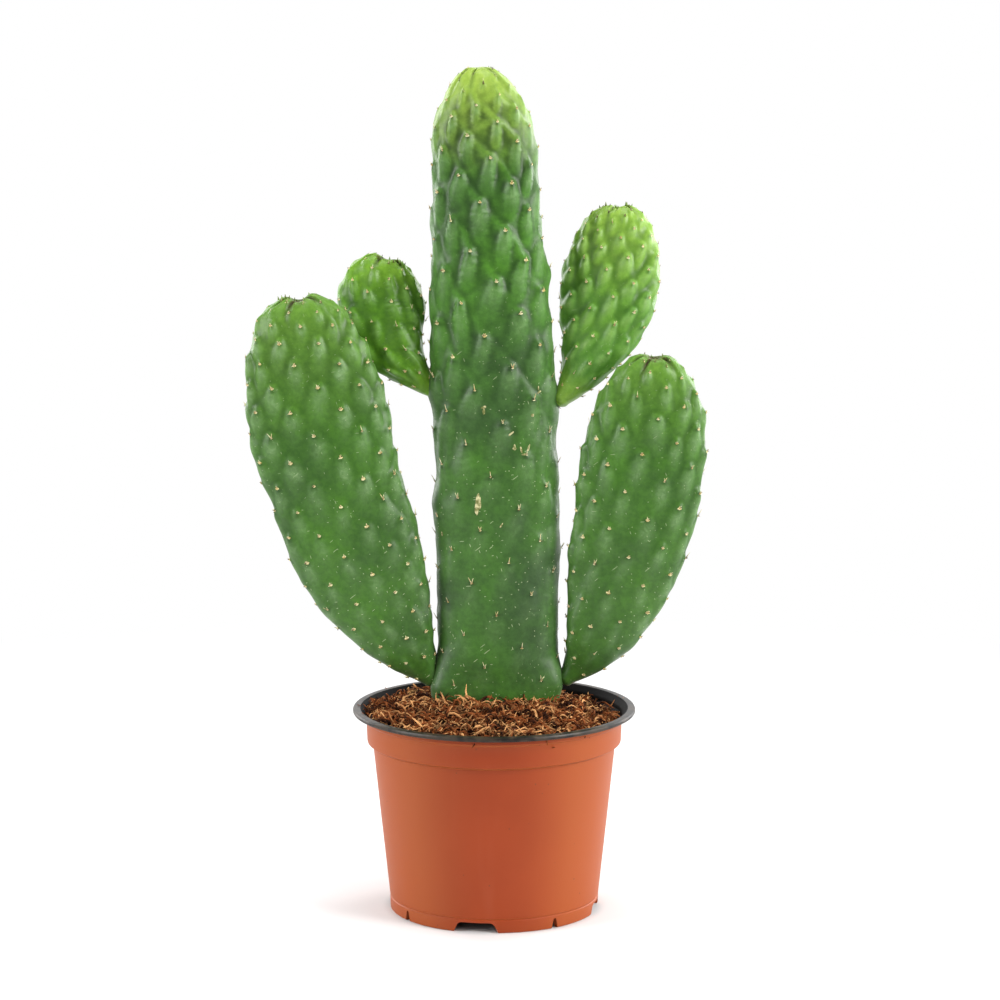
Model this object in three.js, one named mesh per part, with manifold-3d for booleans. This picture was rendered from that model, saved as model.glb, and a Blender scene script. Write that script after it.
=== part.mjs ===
// A potted paddle cactus: one tall column pad that carries four side pads, in a round nursery pot.
// Millimetres, +Z up. The pot stands on z = 0, and the cactus faces -Y.
import * as THREE from "three";
import { mergeVertices } from "three/addons/utils/BufferGeometryUtils.js";
import Module from "manifold-3d";

const wasm = await Module();
wasm.setup();

// Driving dimensions, with the pot's axis at x = 0, y = 0
const gap = 0.3; // clearance between pieces that touch
const roundSides = 48; // sides of the pot and of the soil

const pot = {
  height: 123.5,
  rimRadius: 85,
  rimThickness: 3,
  rimBore: 80,
  neckRadius: 79,
  neckBottom: 117,
  collarRadius: 76.4,
  collarBottom: 103,
  wallTopRadius: 73,
  wallBottomRadius: 63.2,
  footRadius: 63,
  footHeight: 8,
  footWidth: 3.2,
  wall: 1.8,
  wideNotch: 29,
  wideNotchTop: 21,
  slitNotch: 5.5,
  slitNotchTop: 1.6,
  notchTurn: -100, // direction of the first wide notch, in degrees from +X
  drainRadius: 5,
  drainRing: 40,
};

const soil = {
  edgeLow: 115, // the soil has sunk at the back right
  edgeHigh: 122.2, // and reaches the rim at the front left
  lowTurn: 50,
  crown: 127,
  lump: 1.1,
};

const fullness = 0.9; // 1 gives an elliptic section, less gives blunter edges
const crowdStart = 0.55; // share of a pad's length where its areoles begin to crowd
const spine = { length: 4.2, radius: 0.95, root: 1.8 };

// Spine points are [x, y, z]. Half widths, half thicknesses and ridge heights are spaced evenly from
// root to tip. The divergence is the turn from one areole to the next, or from one pair to the next.
// A column of faces follows every columnStep-th of them. The knuckle is the trunk's swelling at the joint.
const padSizes = {
  trunk_pad: {
    base: [1.2, 10, 126.7], bend: [6.8, 9.5, 189.8], tip: [-8.5, 6, 506.2],
    halfWidths: [36.8, 35.9, 37.5, 35.9, 35.7, 32.8, 29.9, 29.3],
    halfThicknesses: [16, 18, 19, 19, 18.5, 18, 17.5, 16],
    widthCap: 60, thicknessCap: 24, root: 33, rootTaper: 0.45, yaw: 0, rings: 41, sides: 26, columnStep: 13,
    areoles: 167.2, crowding: 0.63, divergence: 137.77, first: 0, pairs: 1, start: 300.7, curl: -15,
    ridges: [0.5, 0.6, 0.9, 1.5, 2.2, 2.8, 3, 2.6], crownDip: 3, neck: 0,
    colour: "#3f6b38",
  },
  pad_lower_left: {
    base: [-37.7, 6, 138.9], bend: [-100.1, -1.1, 218.2], tip: [-114.9, -15.2, 374.8],
    halfWidths: [6, 25, 36.9, 38.5, 40.1, 35.8, 18.8],
    halfThicknesses: [8, 11, 12, 12, 11.5, 10.5, 9],
    widthCap: 13.2, thicknessCap: 16, root: 5, rootTaper: 0.2, yaw: 0, rings: 22, sides: 28, columnStep: 14,
    areoles: 160, crowding: 0.21, divergence: 38.73, first: 0.1, pairs: 2, start: 234.4, curl: 13,
    ridges: [0.7, 0.9, 1.1, 1.3, 1.5, 1.7, 1.8], crownDip: 6, neck: 9,
    knuckle: { height: 5, radius: 12, drop: 5 },
    colour: "#3d7136",
  },
  pad_upper_left: {
    base: [-36.7, 9, 314.2], bend: [-78.7, 14.4, 347.6], tip: [-63.1, 21.9, 394.4],
    halfWidths: [4.5, 11.2, 19.7, 25.9, 28.6, 32.2],
    halfThicknesses: [6.5, 8.5, 9.5, 9.5, 9, 8],
    widthCap: 47.9, thicknessCap: 13, root: 5, rootTaper: 0.2, yaw: 0, rings: 15, sides: 26, columnStep: 13,
    areoles: 79, crowding: 0.63, divergence: -138.4, first: 0.35, pairs: 1, start: 15, curl: 9,
    ridges: [0.6, 1.3, 1.7, 1.9, 1.9, 1.7], crownDip: 3, neck: 7,
    knuckle: { height: 3, radius: 10, drop: 0 },
    colour: "#3f7a34",
  },
  pad_upper_right: {
    base: [40.5, 8.5, 309.2], bend: [72, 13.5, 345.3], tip: [73.8, 24.7, 425.3],
    halfWidths: [4.8, 15.2, 24.6, 28.1, 25.2, 22.5],
    halfThicknesses: [7, 10, 10.5, 10.5, 10, 9],
    widthCap: 30, thicknessCap: 13, root: 5, rootTaper: 0.2, yaw: -20, rings: 20, sides: 26, columnStep: 13,
    areoles: 124.9, crowding: 1.47, divergence: -137.21, first: 0, pairs: 1, start: 216.7, curl: -34,
    ridges: [0.6, 1.6, 2.3, 2.5, 2.4, 2.2], crownDip: 3, neck: 7,
    knuckle: { height: 3, radius: 10, drop: 0 },
    colour: "#5f9a3a",
  },
  pad_lower_right: {
    base: [44.3, 6, 140.1], bend: [83.3, 3, 174], tip: [94.7, -12, 339.7],
    halfWidths: [5.5, 21.7, 31.2, 34.7, 35.6, 31.6, 25.8],
    halfThicknesses: [8, 11, 12, 12, 11.5, 10.5, 9],
    widthCap: 37.3, thicknessCap: 16, root: 6, rootTaper: 0.2, yaw: 0, rings: 25, sides: 26, columnStep: 13,
    areoles: 118.4, crowding: 0.38, divergence: 137.8, first: 0.8, pairs: 1, start: 230.7, curl: -5,
    ridges: [0.7, 0.9, 1.1, 1.2, 1.4, 1.6, 1.7], crownDip: 5, neck: 9,
    knuckle: { height: 5, radius: 12, drop: 5 },
    colour: "#3d7038",
  },
};

// Solids

// A closed geometry as a solid with its faces pointing out.
function solidOf(geometry) {
  const bare = new THREE.BufferGeometry();
  bare.setAttribute("position", geometry.getAttribute("position"));
  bare.setIndex(geometry.getIndex());
  const merged = mergeVertices(bare, 1e-4);
  const triVerts = new Uint32Array(merged.index.array);
  const vertProperties = merged.attributes.position.array;
  const made = new wasm.Manifold(new wasm.Mesh({ numProp: 3, vertProperties, triVerts }));
  if (made.volume() > 0) return made;
  for (let i = 0; i < triVerts.length; i += 3) {
    [triVerts[i + 1], triVerts[i + 2]] = [triVerts[i + 2], triVerts[i + 1]];
  }
  return new wasm.Manifold(new wasm.Mesh({ numProp: 3, vertProperties, triVerts }));
}

// The biggest body of a solid, without the scraps that a cut leaves.
function mainBody(solid) {
  const bodies = solid.decompose();
  return bodies.reduce((big, body) => (body.volume() > big.volume() ? body : big));
}

function meshOf(name, solid, material) {
  const { vertProperties, triVerts } = solid.getMesh();
  const geometry = new THREE.BufferGeometry();
  geometry.setAttribute("position", new THREE.BufferAttribute(vertProperties, 3));
  geometry.setIndex(new THREE.BufferAttribute(triVerts, 1));
  geometry.computeVertexNormals();
  const mesh = new THREE.Mesh(geometry, material);
  mesh.name = name;
  return mesh;
}

// A closed skin over rings of points, from a point below the first to a point above the last.
function loft(rings, first, last) {
  const sides = rings[0].length;
  const positions = [first, ...rings.flat(), last].flatMap((p) => p.toArray());
  const end = rings.length * sides + 1;
  const at = (ring, side) => 1 + ring * sides + (side % sides);
  const index = [];
  for (let side = 0; side < sides; side += 1) {
    index.push(0, at(0, side + 1), at(0, side));
    for (let ring = 0; ring + 1 < rings.length; ring += 1) {
      const [a, b] = [at(ring, side), at(ring, side + 1)];
      const [c, d] = [at(ring + 1, side), at(ring + 1, side + 1)];
      index.push(a, b, d, a, d, c);
    }
    index.push(end, at(rings.length - 1, side), at(rings.length - 1, side + 1));
  }
  const geometry = new THREE.BufferGeometry();
  geometry.setAttribute("position", new THREE.Float32BufferAttribute(positions, 3));
  geometry.setIndex(index);
  return geometry;
}

function seededRandom(seed) {
  let state = seed;
  return () => {
    state = (state * 1664525 + 1013904223) % 4294967296;
    return state / 4294967296;
  };
}

// Pot

// Radius of the pot's inside at a height.
function boreAt(z) {
  const steps = [
    [pot.footHeight, pot.wallBottomRadius - pot.wall],
    [pot.collarBottom - 1.5, pot.wallTopRadius - pot.wall],
    [pot.collarBottom + 0.5, pot.collarRadius - pot.wall],
    [pot.neckBottom - 2.5, pot.collarRadius - pot.wall],
    [pot.neckBottom, pot.neckRadius - pot.wall],
    [pot.height - pot.rimThickness, pot.neckRadius - pot.wall],
    [pot.height - 1.6, pot.rimBore - 1.4],
  ];
  const above = steps.findIndex(([height]) => height >= z);
  const next = above < 0 ? steps.length - 1 : Math.max(above, 1);
  const [z0, r0] = steps[next - 1];
  const [z1, r1] = steps[next];
  return THREE.MathUtils.mapLinear(z, z0, z1, r0, r1);
}

function potSolid() {
  const floorTop = pot.footHeight + 0.1;
  const floorBottom = floorTop - pot.wall;
  const underRim = pot.height - pot.rimThickness;
  const outside = [
    [0, floorBottom],
    [pot.footRadius - pot.footWidth, floorBottom],
    [pot.footRadius - pot.footWidth, 0],
    [pot.footRadius, 0],
    [pot.footRadius, pot.footHeight],
    [pot.wallBottomRadius, pot.footHeight + 0.6],
    [pot.wallTopRadius, pot.collarBottom - 1.2],
    [pot.collarRadius, pot.collarBottom],
    [pot.collarRadius + 0.4, pot.neckBottom - 1.5],
    [pot.neckRadius, pot.neckBottom],
    [pot.neckRadius, underRim],
    [pot.rimRadius, underRim + 0.5],
    [pot.rimRadius, pot.height - 1],
    [pot.rimRadius - 1.2, pot.height],
  ];
  const inside = [
    [pot.rimBore, pot.height],
    [pot.rimBore - 1.4, pot.height - 1.6],
    [boreAt(underRim), underRim - 0.4],
    [boreAt(pot.neckBottom), pot.neckBottom],
    [boreAt(pot.neckBottom - 2.5), pot.neckBottom - 2.5],
    [boreAt(pot.collarBottom + 0.5), pot.collarBottom + 0.5],
    [boreAt(pot.collarBottom - 1.5), pot.collarBottom - 1.5],
    [boreAt(pot.footHeight), floorTop],
    [0, floorTop],
  ];
  const profile = [...outside, ...inside].map(([r, z]) => new THREE.Vector2(r, z));
  const turned = new THREE.LatheGeometry(profile, roundSides);
  turned.rotateX(Math.PI / 2);
  let solid = solidOf(turned);
  for (const cut of footCuts()) solid = solid.subtract(cut);
  return solid;
}

// Four wide notches and four slits through the foot ring, and the drain holes inside it.
function footCuts() {
  const cuts = [];
  for (let i = 0; i < 8; i += 1) {
    const wide = i % 2 === 0;
    const low = (wide ? pot.wideNotch : pot.slitNotch) / 2;
    const high = (wide ? pot.wideNotchTop : pot.slitNotchTop) / 2;
    const outline = new THREE.Shape();
    outline.moveTo(-low, -1);
    outline.lineTo(low, -1);
    outline.lineTo(high, pot.footHeight - pot.wall - 0.2);
    outline.lineTo(-high, pot.footHeight - pot.wall - 0.2);
    const block = new THREE.ExtrudeGeometry(outline, { depth: 16, bevelEnabled: false });
    block.rotateX(Math.PI / 2); // the outline's height becomes z, and its depth runs to -Y
    block.translate(0, -pot.footRadius + 8, 0);
    block.rotateZ(THREE.MathUtils.degToRad(pot.notchTurn + 90 + 45 * i));
    cuts.push(solidOf(block));
    if (wide) continue;
    const drain = new THREE.CylinderGeometry(pot.drainRadius, pot.drainRadius, 12, 12);
    drain.rotateX(Math.PI / 2);
    drain.translate(pot.drainRing, 0, pot.footHeight - 1);
    drain.rotateZ(THREE.MathUtils.degToRad(pot.notchTurn + 45 * i));
    cuts.push(solidOf(drain));
  }
  return cuts;
}

// Soil

// Height of the soil's surface at a share of the radius and a direction.
function soilHeight(share, angle) {
  const low = THREE.MathUtils.degToRad(soil.lowTurn);
  const middle = (soil.edgeLow + soil.edgeHigh) / 2;
  const edge = middle - ((soil.edgeHigh - soil.edgeLow) / 2) * Math.cos(angle - low);
  const rise = THREE.MathUtils.smoothstep(1 - share, 0, 0.75);
  const waves = [9 * angle + 14 * share, 7 * angle - 23 * share + 1, 3 * angle + 31 * share];
  const lumps = waves.reduce((sum, wave) => sum + Math.sin(wave), 0);
  return THREE.MathUtils.lerp(edge, soil.crown, rise) + (soil.lump * lumps * share) / 2;
}

function soilSolid() {
  const ring = (radiusAt, heightAt) =>
    Array.from({ length: roundSides }, (_, i) => {
      const angle = (i / roundSides) * 2 * Math.PI;
      const r = radiusAt(angle);
      return new THREE.Vector3(r * Math.cos(angle), r * Math.sin(angle), heightAt(angle));
    });
  const bottom = pot.footHeight + 0.1 + gap;
  const side = (heightAt, margin = gap) => ring((a) => boreAt(heightAt(a)) - margin, heightAt);
  const edge = (a) => soilHeight(1, a);
  const rings = [
    side(() => bottom),
    side(() => pot.collarBottom - 1.5),
    side(() => pot.collarBottom + 0.9),
    side((a) => Math.min(edge(a) - 1.5, pot.neckBottom - 3), 2 * gap),
    side(edge, 4.5 * gap),
  ];
  for (const share of [0.92, 0.78, 0.62, 0.45]) {
    rings.push(ring((a) => share * (boreAt(edge(a)) - 4.5 * gap), (a) => soilHeight(share, a)));
  }
  const skin = loft(rings, new THREE.Vector3(0, 0, bottom), new THREE.Vector3(0, 0, soil.crown));
  return solidOf(skin);
}

// Pads

// A smooth value through evenly spaced ones, at a share of the way from the first to the last.
function along(values, share) {
  const last = values.length - 1;
  const place = THREE.MathUtils.clamp(share, 0, 1) * last;
  const i = Math.min(Math.floor(place), last - 1);
  const t = place - i;
  const [b, c] = [values[i], values[i + 1]];
  const a = i > 0 ? values[i - 1] : 2 * b - c;
  const d = i + 2 <= last ? values[i + 2] : 2 * c - b;
  return (
    0.5 * (2 * b + (c - a) * t + (2 * a - 5 * b + 4 * c - d) * t ** 2 + (3 * b - a - 3 * c + d) * t ** 3)
  );
}

function makePad(sizes) {
  const [base, bend, tip] = [sizes.base, sizes.bend, sizes.tip].map((p) => new THREE.Vector3(...p));
  const curve = new THREE.QuadraticBezierCurve3(base, bend, tip);
  const pad = { ...sizes, curve, length: curve.getLength() };
  pad.spots = areoleSpots(pad);
  return pad;
}

// Where a pad's middle line is at a distance from its root, and the directions there.
function padFrame(pad, s) {
  const share = THREE.MathUtils.clamp(s / pad.length, 0, 1);
  const up = pad.curve.getTangentAt(share);
  const centre = pad.curve.getPointAt(share).addScaledVector(up, Math.min(s, 0));
  const yaw = THREE.MathUtils.degToRad(pad.yaw * (1 - share));
  const facing = new THREE.Vector3(Math.sin(yaw), -Math.cos(yaw), 0);
  const across = up.clone().cross(facing).normalize();
  const front = across.clone().cross(up);
  return { centre, up, across, front };
}

// A point on the pad's smooth skin. The angle runs from the right edge over the front to the left.
function skinPoint(pad, s, angle) {
  const { centre, up, across, front } = padFrame(pad, s);
  const toTip = Math.max(pad.length - s, 0);
  const round = (reach) => Math.sqrt(1 - Math.max(1 - toTip / reach, 0) ** 2);
  const taper = 1 - pad.rootTaper * (Math.min(s, 0) / pad.root) ** 2;
  const full = (value) => Math.sign(value) * Math.abs(value) ** fullness;
  const share = s / pad.length;
  const x = along(pad.halfWidths, share) * round(pad.widthCap) * taper * full(Math.cos(angle));
  const y = along(pad.halfThicknesses, share) * round(pad.thicknessCap) * taper * full(Math.sin(angle));
  const dip = toTip < 30 ? pad.crownDip * Math.exp(-((Math.hypot(x, y) / 5) ** 2)) : 0;
  return centre.addScaledVector(across, x).addScaledVector(front, y).addScaledVector(up, -dip);
}

function skinNormal(pad, s, angle) {
  const [ds, da] = [0.4, 0.02];
  const top = Math.min(s + ds, pad.length - 0.05);
  const upward = skinPoint(pad, top, angle).sub(skinPoint(pad, top - 2 * ds, angle));
  const around = skinPoint(pad, s, angle + da).sub(skinPoint(pad, s, angle - da));
  return upward.cross(around).normalize();
}

// Areoles follow one another by the same turn, and crowd together towards the tip.
function areoleSpots(pad) {
  const spread = (1 - crowdStart) / 3;
  const spacing = (pad.length * (1 + pad.crowding * spread)) / pad.areoles;
  const spots = [];
  let s = pad.first * spacing * pad.pairs;
  for (let k = 0; s < pad.length - 1.5; k += 1) {
    const share = s / pad.length;
    const late = Math.max(share - crowdStart, 0) / (1 - crowdStart);
    const step = spacing / (1 + pad.crowding * late ** 2);
    const turn = pad.start + pad.curl * share ** 2 + pad.divergence * k;
    for (let pair = 0; pair < pad.pairs; pair += 1) {
      const angle = THREE.MathUtils.degToRad(turn) + pair * Math.PI;
      const point = skinPoint(pad, s, angle);
      const ridge = along(pad.ridges, share);
      spots.push({ s, angle, point, ridge, up: padFrame(pad, s).up, reach: 12 * step });
    }
    s += step * pad.pairs;
  }
  return spots;
}

// Height of the ridges over the smooth skin: each areole sits at the top end of a drop-shaped one.
function ridgeAt(pad, point) {
  let sum = 0;
  for (const spot of pad.spots) {
    const offset = point.clone().sub(spot.point);
    const rise = offset.dot(spot.up);
    const aside = Math.sqrt(Math.max(offset.lengthSq() - rise ** 2, 0));
    if (aside > 16 || rise > spot.reach || rise < -spot.reach) continue;
    const down = Math.max(-rise / spot.reach, 0);
    const halfWidth = 0.3 * spot.reach * (1 - 0.5 * down);
    const fall = rise > 0 ? Math.exp(-((rise / (0.16 * spot.reach)) ** 2)) : Math.cos((Math.PI / 2) * down);
    sum += (spot.ridge * fall * Math.exp(-((aside / halfWidth) ** 2))) ** 3;
  }
  return Math.cbrt(sum);
}

// Turn of the first column of faces at a distance from the root.
function columnTurn(pad, s) {
  const share = s / pad.length;
  const fullTurn = 360 / pad.pairs;
  const turns = pad.columnStep * pad.divergence;
  const lean = (turns - fullTurn * Math.round(turns / fullTurn)) / pad.columnStep;
  const steps = (share * pad.areoles) / pad.pairs;
  return THREE.MathUtils.degToRad(pad.start + pad.curl * share ** 2 + lean * steps);
}

// Height of the swellings round the joints that a pad carries.
function swellingAt(joints, point) {
  return joints.reduce((sum, { place, height, radius }) => {
    return sum + height * Math.exp(-((point.distanceTo(place) / radius) ** 2));
  }, 0);
}

// The pad's skin, ridges and all, moved out by a margin.
function padBody(pad, margin, joints = []) {
  const capRings = 5;
  const bodyEnd = pad.length - Math.min(pad.widthCap, 30);
  const bodyRings = pad.rings - capRings;
  const stations = [];
  for (let i = 0; i < bodyRings; i += 1) {
    stations.push(THREE.MathUtils.lerp(-pad.root, bodyEnd, i / bodyRings));
  }
  for (let i = 0; i < capRings; i += 1) {
    const turn = (i / capRings) * (Math.PI / 2);
    stations.push(bodyEnd + (pad.length - bodyEnd) * Math.sin(turn + 0.12 * (i / capRings)));
  }
  const rings = stations.map((s) =>
    Array.from({ length: pad.sides }, (_, i) => {
      const angle = columnTurn(pad, s) + (i / pad.sides) * 2 * Math.PI;
      const point = skinPoint(pad, s, angle);
      const height = s > 0 ? ridgeAt(pad, point) * THREE.MathUtils.smoothstep(s, 0, 20) : 0;
      const swelling = swellingAt(joints, point);
      return point.addScaledVector(skinNormal(pad, s, angle), height + swelling + margin);
    }),
  );
  const ends = [-pad.root, pad.length].map((s) => padFrame(pad, s));
  const first = ends[0].centre.addScaledVector(ends[0].up, -margin);
  const last = ends[1].centre.addScaledVector(ends[1].up, margin - pad.crownDip);
  return solidOf(loft(rings, first, last));
}

// One three-sided spine for each areole, its root sunk into the skin.
function spinesOf(pad, keep) {
  const random = seededRandom(Math.round(pad.areoles * 7 + pad.start));
  const upright = new THREE.Vector3(0, 1, 0);
  return pad.spots.flatMap((spot) => {
    const lean = (random() - 0.3) * 0.9;
    const side = (random() - 0.5) * 0.9;
    const reach = spine.length * (0.75 + 0.5 * random());
    const normal = skinNormal(pad, spot.s, spot.angle);
    const surface = spot.point.clone().addScaledVector(normal, ridgeAt(pad, spot.point));
    if (!keep(spot, surface)) return [];
    const sideways = normal.clone().cross(spot.up);
    const direction = normal.clone().addScaledVector(spot.up, lean).addScaledVector(sideways, side);
    direction.normalize();
    const cone = new THREE.ConeGeometry(spine.radius, reach + spine.root, 3);
    cone.applyQuaternion(new THREE.Quaternion().setFromUnitVectors(upright, direction));
    const middle = surface.addScaledVector(direction, (reach - spine.root) / 2);
    cone.translate(...middle.toArray());
    return [solidOf(cone)];
  });
}

// Assembly

const pads = Object.fromEntries(Object.entries(padSizes).map(([name, sizes]) => [name, makePad(sizes)]));
const sidePads = Object.entries(pads).filter(([name]) => name !== "trunk_pad");

function paint(colour, roughness) {
  return new THREE.MeshStandardMaterial({ color: colour, roughness, metalness: 0 });
}

function cactusMeshes() {
  const trunk = pads.trunk_pad;
  const joints = sidePads.map(([, { curve, knuckle }]) => {
    const place = curve.getPointAt(0).sub(new THREE.Vector3(0, 0, knuckle.drop));
    return { place, height: knuckle.height, radius: knuckle.radius };
  });
  const necks = sidePads.flatMap(([, pad]) => [0, 12, 24].map((s) => padFrame(pad, s).centre));
  const clearOfJoints = (spot, surface) =>
    surface.z > soil.crown + 4 && necks.every((neck) => surface.distanceTo(neck) > 17);
  const trunkBody = padBody(trunk, 0, joints);
  const trunkSpines = wasm.Manifold.union(spinesOf(trunk, clearOfJoints));
  const trunkRoom = padBody(trunk, gap, joints);
  const meshes = [meshOf("trunk_pad", trunkBody.add(trunkSpines), paint(trunk.colour, 0.6))];
  for (const [name, pad] of sidePads) {
    const spines = wasm.Manifold.union(spinesOf(pad, (spot) => spot.s > pad.neck));
    const solid = mainBody(padBody(pad, 0).add(spines).subtract(trunkRoom));
    meshes.push(meshOf(name, solid, paint(pad.colour, 0.55)));
  }
  const soilBody = mainBody(soilSolid().subtract(trunkRoom));
  return [meshOf("soil", soilBody, paint("#5b3a22", 1)), ...meshes];
}

const cactus = new THREE.Group();
cactus.add(meshOf("pot", potSolid(), paint("#b85630", 0.45)), ...cactusMeshes());

// The group's origin is the middle of its box on the floor, so the pot's axis lies beside it.
const reach = new THREE.Box3().setFromObject(cactus);
cactus.position.set(-(reach.min.x + reach.max.x) / 2, -(reach.min.y + reach.max.y) / 2, 0);

export default cactus;
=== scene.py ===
# Potted paddle cactus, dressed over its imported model. Lengths are in mm until a mesh is written.
import math

import bmesh
import bpy
import numpy as np
from mathutils import Matrix, Vector


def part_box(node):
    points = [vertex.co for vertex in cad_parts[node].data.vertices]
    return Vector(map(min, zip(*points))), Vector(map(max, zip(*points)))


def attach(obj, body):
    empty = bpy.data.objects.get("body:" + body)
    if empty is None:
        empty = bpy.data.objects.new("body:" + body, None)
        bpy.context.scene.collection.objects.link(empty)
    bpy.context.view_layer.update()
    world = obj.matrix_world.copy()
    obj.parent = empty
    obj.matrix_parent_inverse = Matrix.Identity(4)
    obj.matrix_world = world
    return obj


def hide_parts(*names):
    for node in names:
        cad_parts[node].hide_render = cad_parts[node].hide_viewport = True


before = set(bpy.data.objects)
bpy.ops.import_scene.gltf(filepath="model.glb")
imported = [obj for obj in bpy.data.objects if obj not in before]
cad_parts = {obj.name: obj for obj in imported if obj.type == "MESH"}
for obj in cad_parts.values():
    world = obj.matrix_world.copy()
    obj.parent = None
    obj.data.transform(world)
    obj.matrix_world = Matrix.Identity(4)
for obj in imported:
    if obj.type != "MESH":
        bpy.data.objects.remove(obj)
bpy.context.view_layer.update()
mm = 0.001

potLow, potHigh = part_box("pot")
potAxis = Vector(((potLow.x + potHigh.x) / 2, (potLow.y + potHigh.y) / 2, 0))
print("frame loaded, pot axis at", tuple(round(v, 4) for v in potAxis))


# small helpers

def pickNothing():
    if bpy.context.object and bpy.context.object.mode != "OBJECT":
        bpy.ops.object.mode_set(mode="OBJECT")
    bpy.ops.object.select_all(action="DESELECT")


def pick(piece):
    pickNothing()
    piece.select_set(True)
    bpy.context.view_layer.objects.active = piece


# a new primitive, with nothing else selected
def addPiece(operator, **sizes):
    pickNothing()
    operator(**sizes)
    return bpy.context.object


def readPoints(piece):
    flat = np.empty(len(piece.data.vertices) * 3)
    piece.data.vertices.foreach_get("co", flat)
    return flat.reshape(-1, 3)


# points are in mm about the pot's axis or another origin, and the mesh is in metres in the frame
def writePoints(piece, points, origin=potAxis):
    flat = (np.asarray(points) * mm + np.array(origin)).ravel()
    piece.data.vertices.foreach_set("co", flat)
    piece.data.update()


def writeValue(piece, name, values):
    layer = piece.data.attributes.new(name, "FLOAT", "POINT")
    layer.data.foreach_set("value", np.asarray(values, float))


def finishPiece(piece, node=None, angle=None):
    pick(piece)
    bpy.ops.object.transform_apply(location=True, rotation=True, scale=True)
    if angle is None:
        bpy.ops.object.shade_smooth()
    else:
        bpy.ops.object.shade_smooth_by_angle(angle=math.radians(angle))
    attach(piece, "root")
    if node:
        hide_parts(node)
    pickNothing()


def copyMesh(template, name):
    twin = template.copy()
    twin.data = template.data.copy()
    twin.name = name
    bpy.context.scene.collection.objects.link(twin)
    return twin


def joinAll(pieces, name):
    pickNothing()
    for piece in pieces:
        piece.select_set(True)
    bpy.context.view_layer.objects.active = pieces[0]
    bpy.ops.object.join()
    pieces[0].name = name
    return pieces[0]


def moveTo(point):
    return Matrix.Translation(Vector(point) * mm + potAxis)


def turnTo(x, y, z):
    return Matrix((x, y, z)).transposed().to_4x4()


# in edit mode: the edges whose two ends pass the test
def selectEdges(piece, test):
    bpy.ops.mesh.select_all(action="DESELECT")
    mesh = bmesh.from_edit_mesh(piece.data)
    for edge in mesh.edges:
        edge.select_set(test(*(vert.co for vert in edge.verts)))
    bmesh.update_edit_mesh(piece.data)


def unit(ways):
    return ways / np.maximum(np.linalg.norm(ways, axis=-1), 1e-9)[..., None]


def bell(value, width):
    return np.exp(-((value / width) ** 2))


def ease(share):
    share = np.clip(share, 0, 1)
    return share * share * (3 - 2 * share)


# a sphere with a pole below and above: each point's share of the way up and its direction
def roundBlank(name, sides, rings):
    blank = addPiece(bpy.ops.mesh.primitive_uv_sphere_add, segments=sides, ring_count=rings, radius=1)
    blank.name = name
    ball = readPoints(blank)
    share = np.round(np.arccos(np.clip(-ball[:, 2], -1, 1)) / math.pi * rings) / rings
    return blank, share, np.arctan2(ball[:, 1], ball[:, 0])


# a round blank's points as rows of rings, without the poles, and a field blurred over them
def gridRows(share, angle, sides, rings):
    column = np.round(angle / (2 * math.pi) * sides).astype(int) % sides
    return np.lexsort((column, np.round(share * rings)))[1:-1].reshape(rings - 1, sides)


def blurOver(field, grid, around, up):
    values = field[grid]
    for _ in range(around):
        values = (np.roll(values, 1, axis=1) + 2 * values + np.roll(values, -1, axis=1)) / 4
    for _ in range(up):
        wider = np.pad(values, ((1, 1), (0, 0)), mode="edge")
        values = (wider[:-2] + 2 * values + wider[2:]) / 4
    blurred = field.copy()
    blurred[grid] = values
    return blurred


# a smooth uneven field from a few dozen waves, about -1 to 1
def unevenField(points, wavelength, seed, waves=28):
    random = np.random.default_rng(seed)
    ways = unit(random.normal(size=(waves, 3)))
    lengths = wavelength * random.uniform(0.6, 1.8, waves)
    starts = random.uniform(0, 2 * math.pi, waves)
    total = np.zeros(len(points))
    for way, length, start in zip(ways, lengths, starts):
        total += np.sin(points @ way * (2 * math.pi / length) + start)
    return total / math.sqrt(waves) / 1.4


# shader helpers

# sockets are filled in order, or by name or number, with numbers, colours or other nodes' outputs
def feed(node, sockets):
    named = sockets if isinstance(sockets, dict) else dict(enumerate(sockets))
    for key, value in named.items():
        if isinstance(value, bpy.types.NodeSocket):
            node.id_data.links.new(value, node.inputs[key])
        else:
            node.inputs[key].default_value = value


# nodes are laid out in rows as they are made
def addNode(tree, kind, sockets=(), **settings):
    node = tree.nodes.new("ShaderNode" + kind)
    row, column = divmod(len(tree.nodes), 8)
    node.location = (220 * column - 900, -500 - 320 * row)
    for name, value in settings.items():
        setattr(node, name, value)
    feed(node, sockets)
    return node.outputs


def mathNode(kind, *values, clamp=False):
    tree = next(value.id_data for value in values if isinstance(value, bpy.types.NodeSocket))
    return addNode(tree, "Math", values, operation=kind, use_clamp=clamp)[0]


# the first times the second, plus the third if there is one
def times(*values, clamp=False):
    return mathNode("MULTIPLY_ADD" if len(values) == 3 else "MULTIPLY", *values, clamp=clamp)


def mixColour(share, first, second, kind="MIX"):
    sockets = {0: share, 6: first, 7: second}
    return addNode(share.id_data, "Mix", sockets, data_type="RGBA", blend_type=kind)[2]


def rangeNode(value, low, high, toLow=0.0, toHigh=1.0):
    sockets = value, low, high, toLow, toHigh
    return addNode(value.id_data, "MapRange", sockets, interpolation_type="SMOOTHSTEP")[0]


def noiseNode(place, scale, detail, roughness=0.5, distortion=0.0):
    return addNode(place.id_data, "TexNoise", {
        "Vector": place, "Scale": scale, "Detail": detail, "Roughness": roughness,
        "Distortion": distortion})["Fac"]


def valueNode(tree, name):
    return addNode(tree, "Attribute", attribute_name=name)["Fac"]


def objectPlace(tree):
    return addNode(tree, "TexCoord")["Object"]


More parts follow.
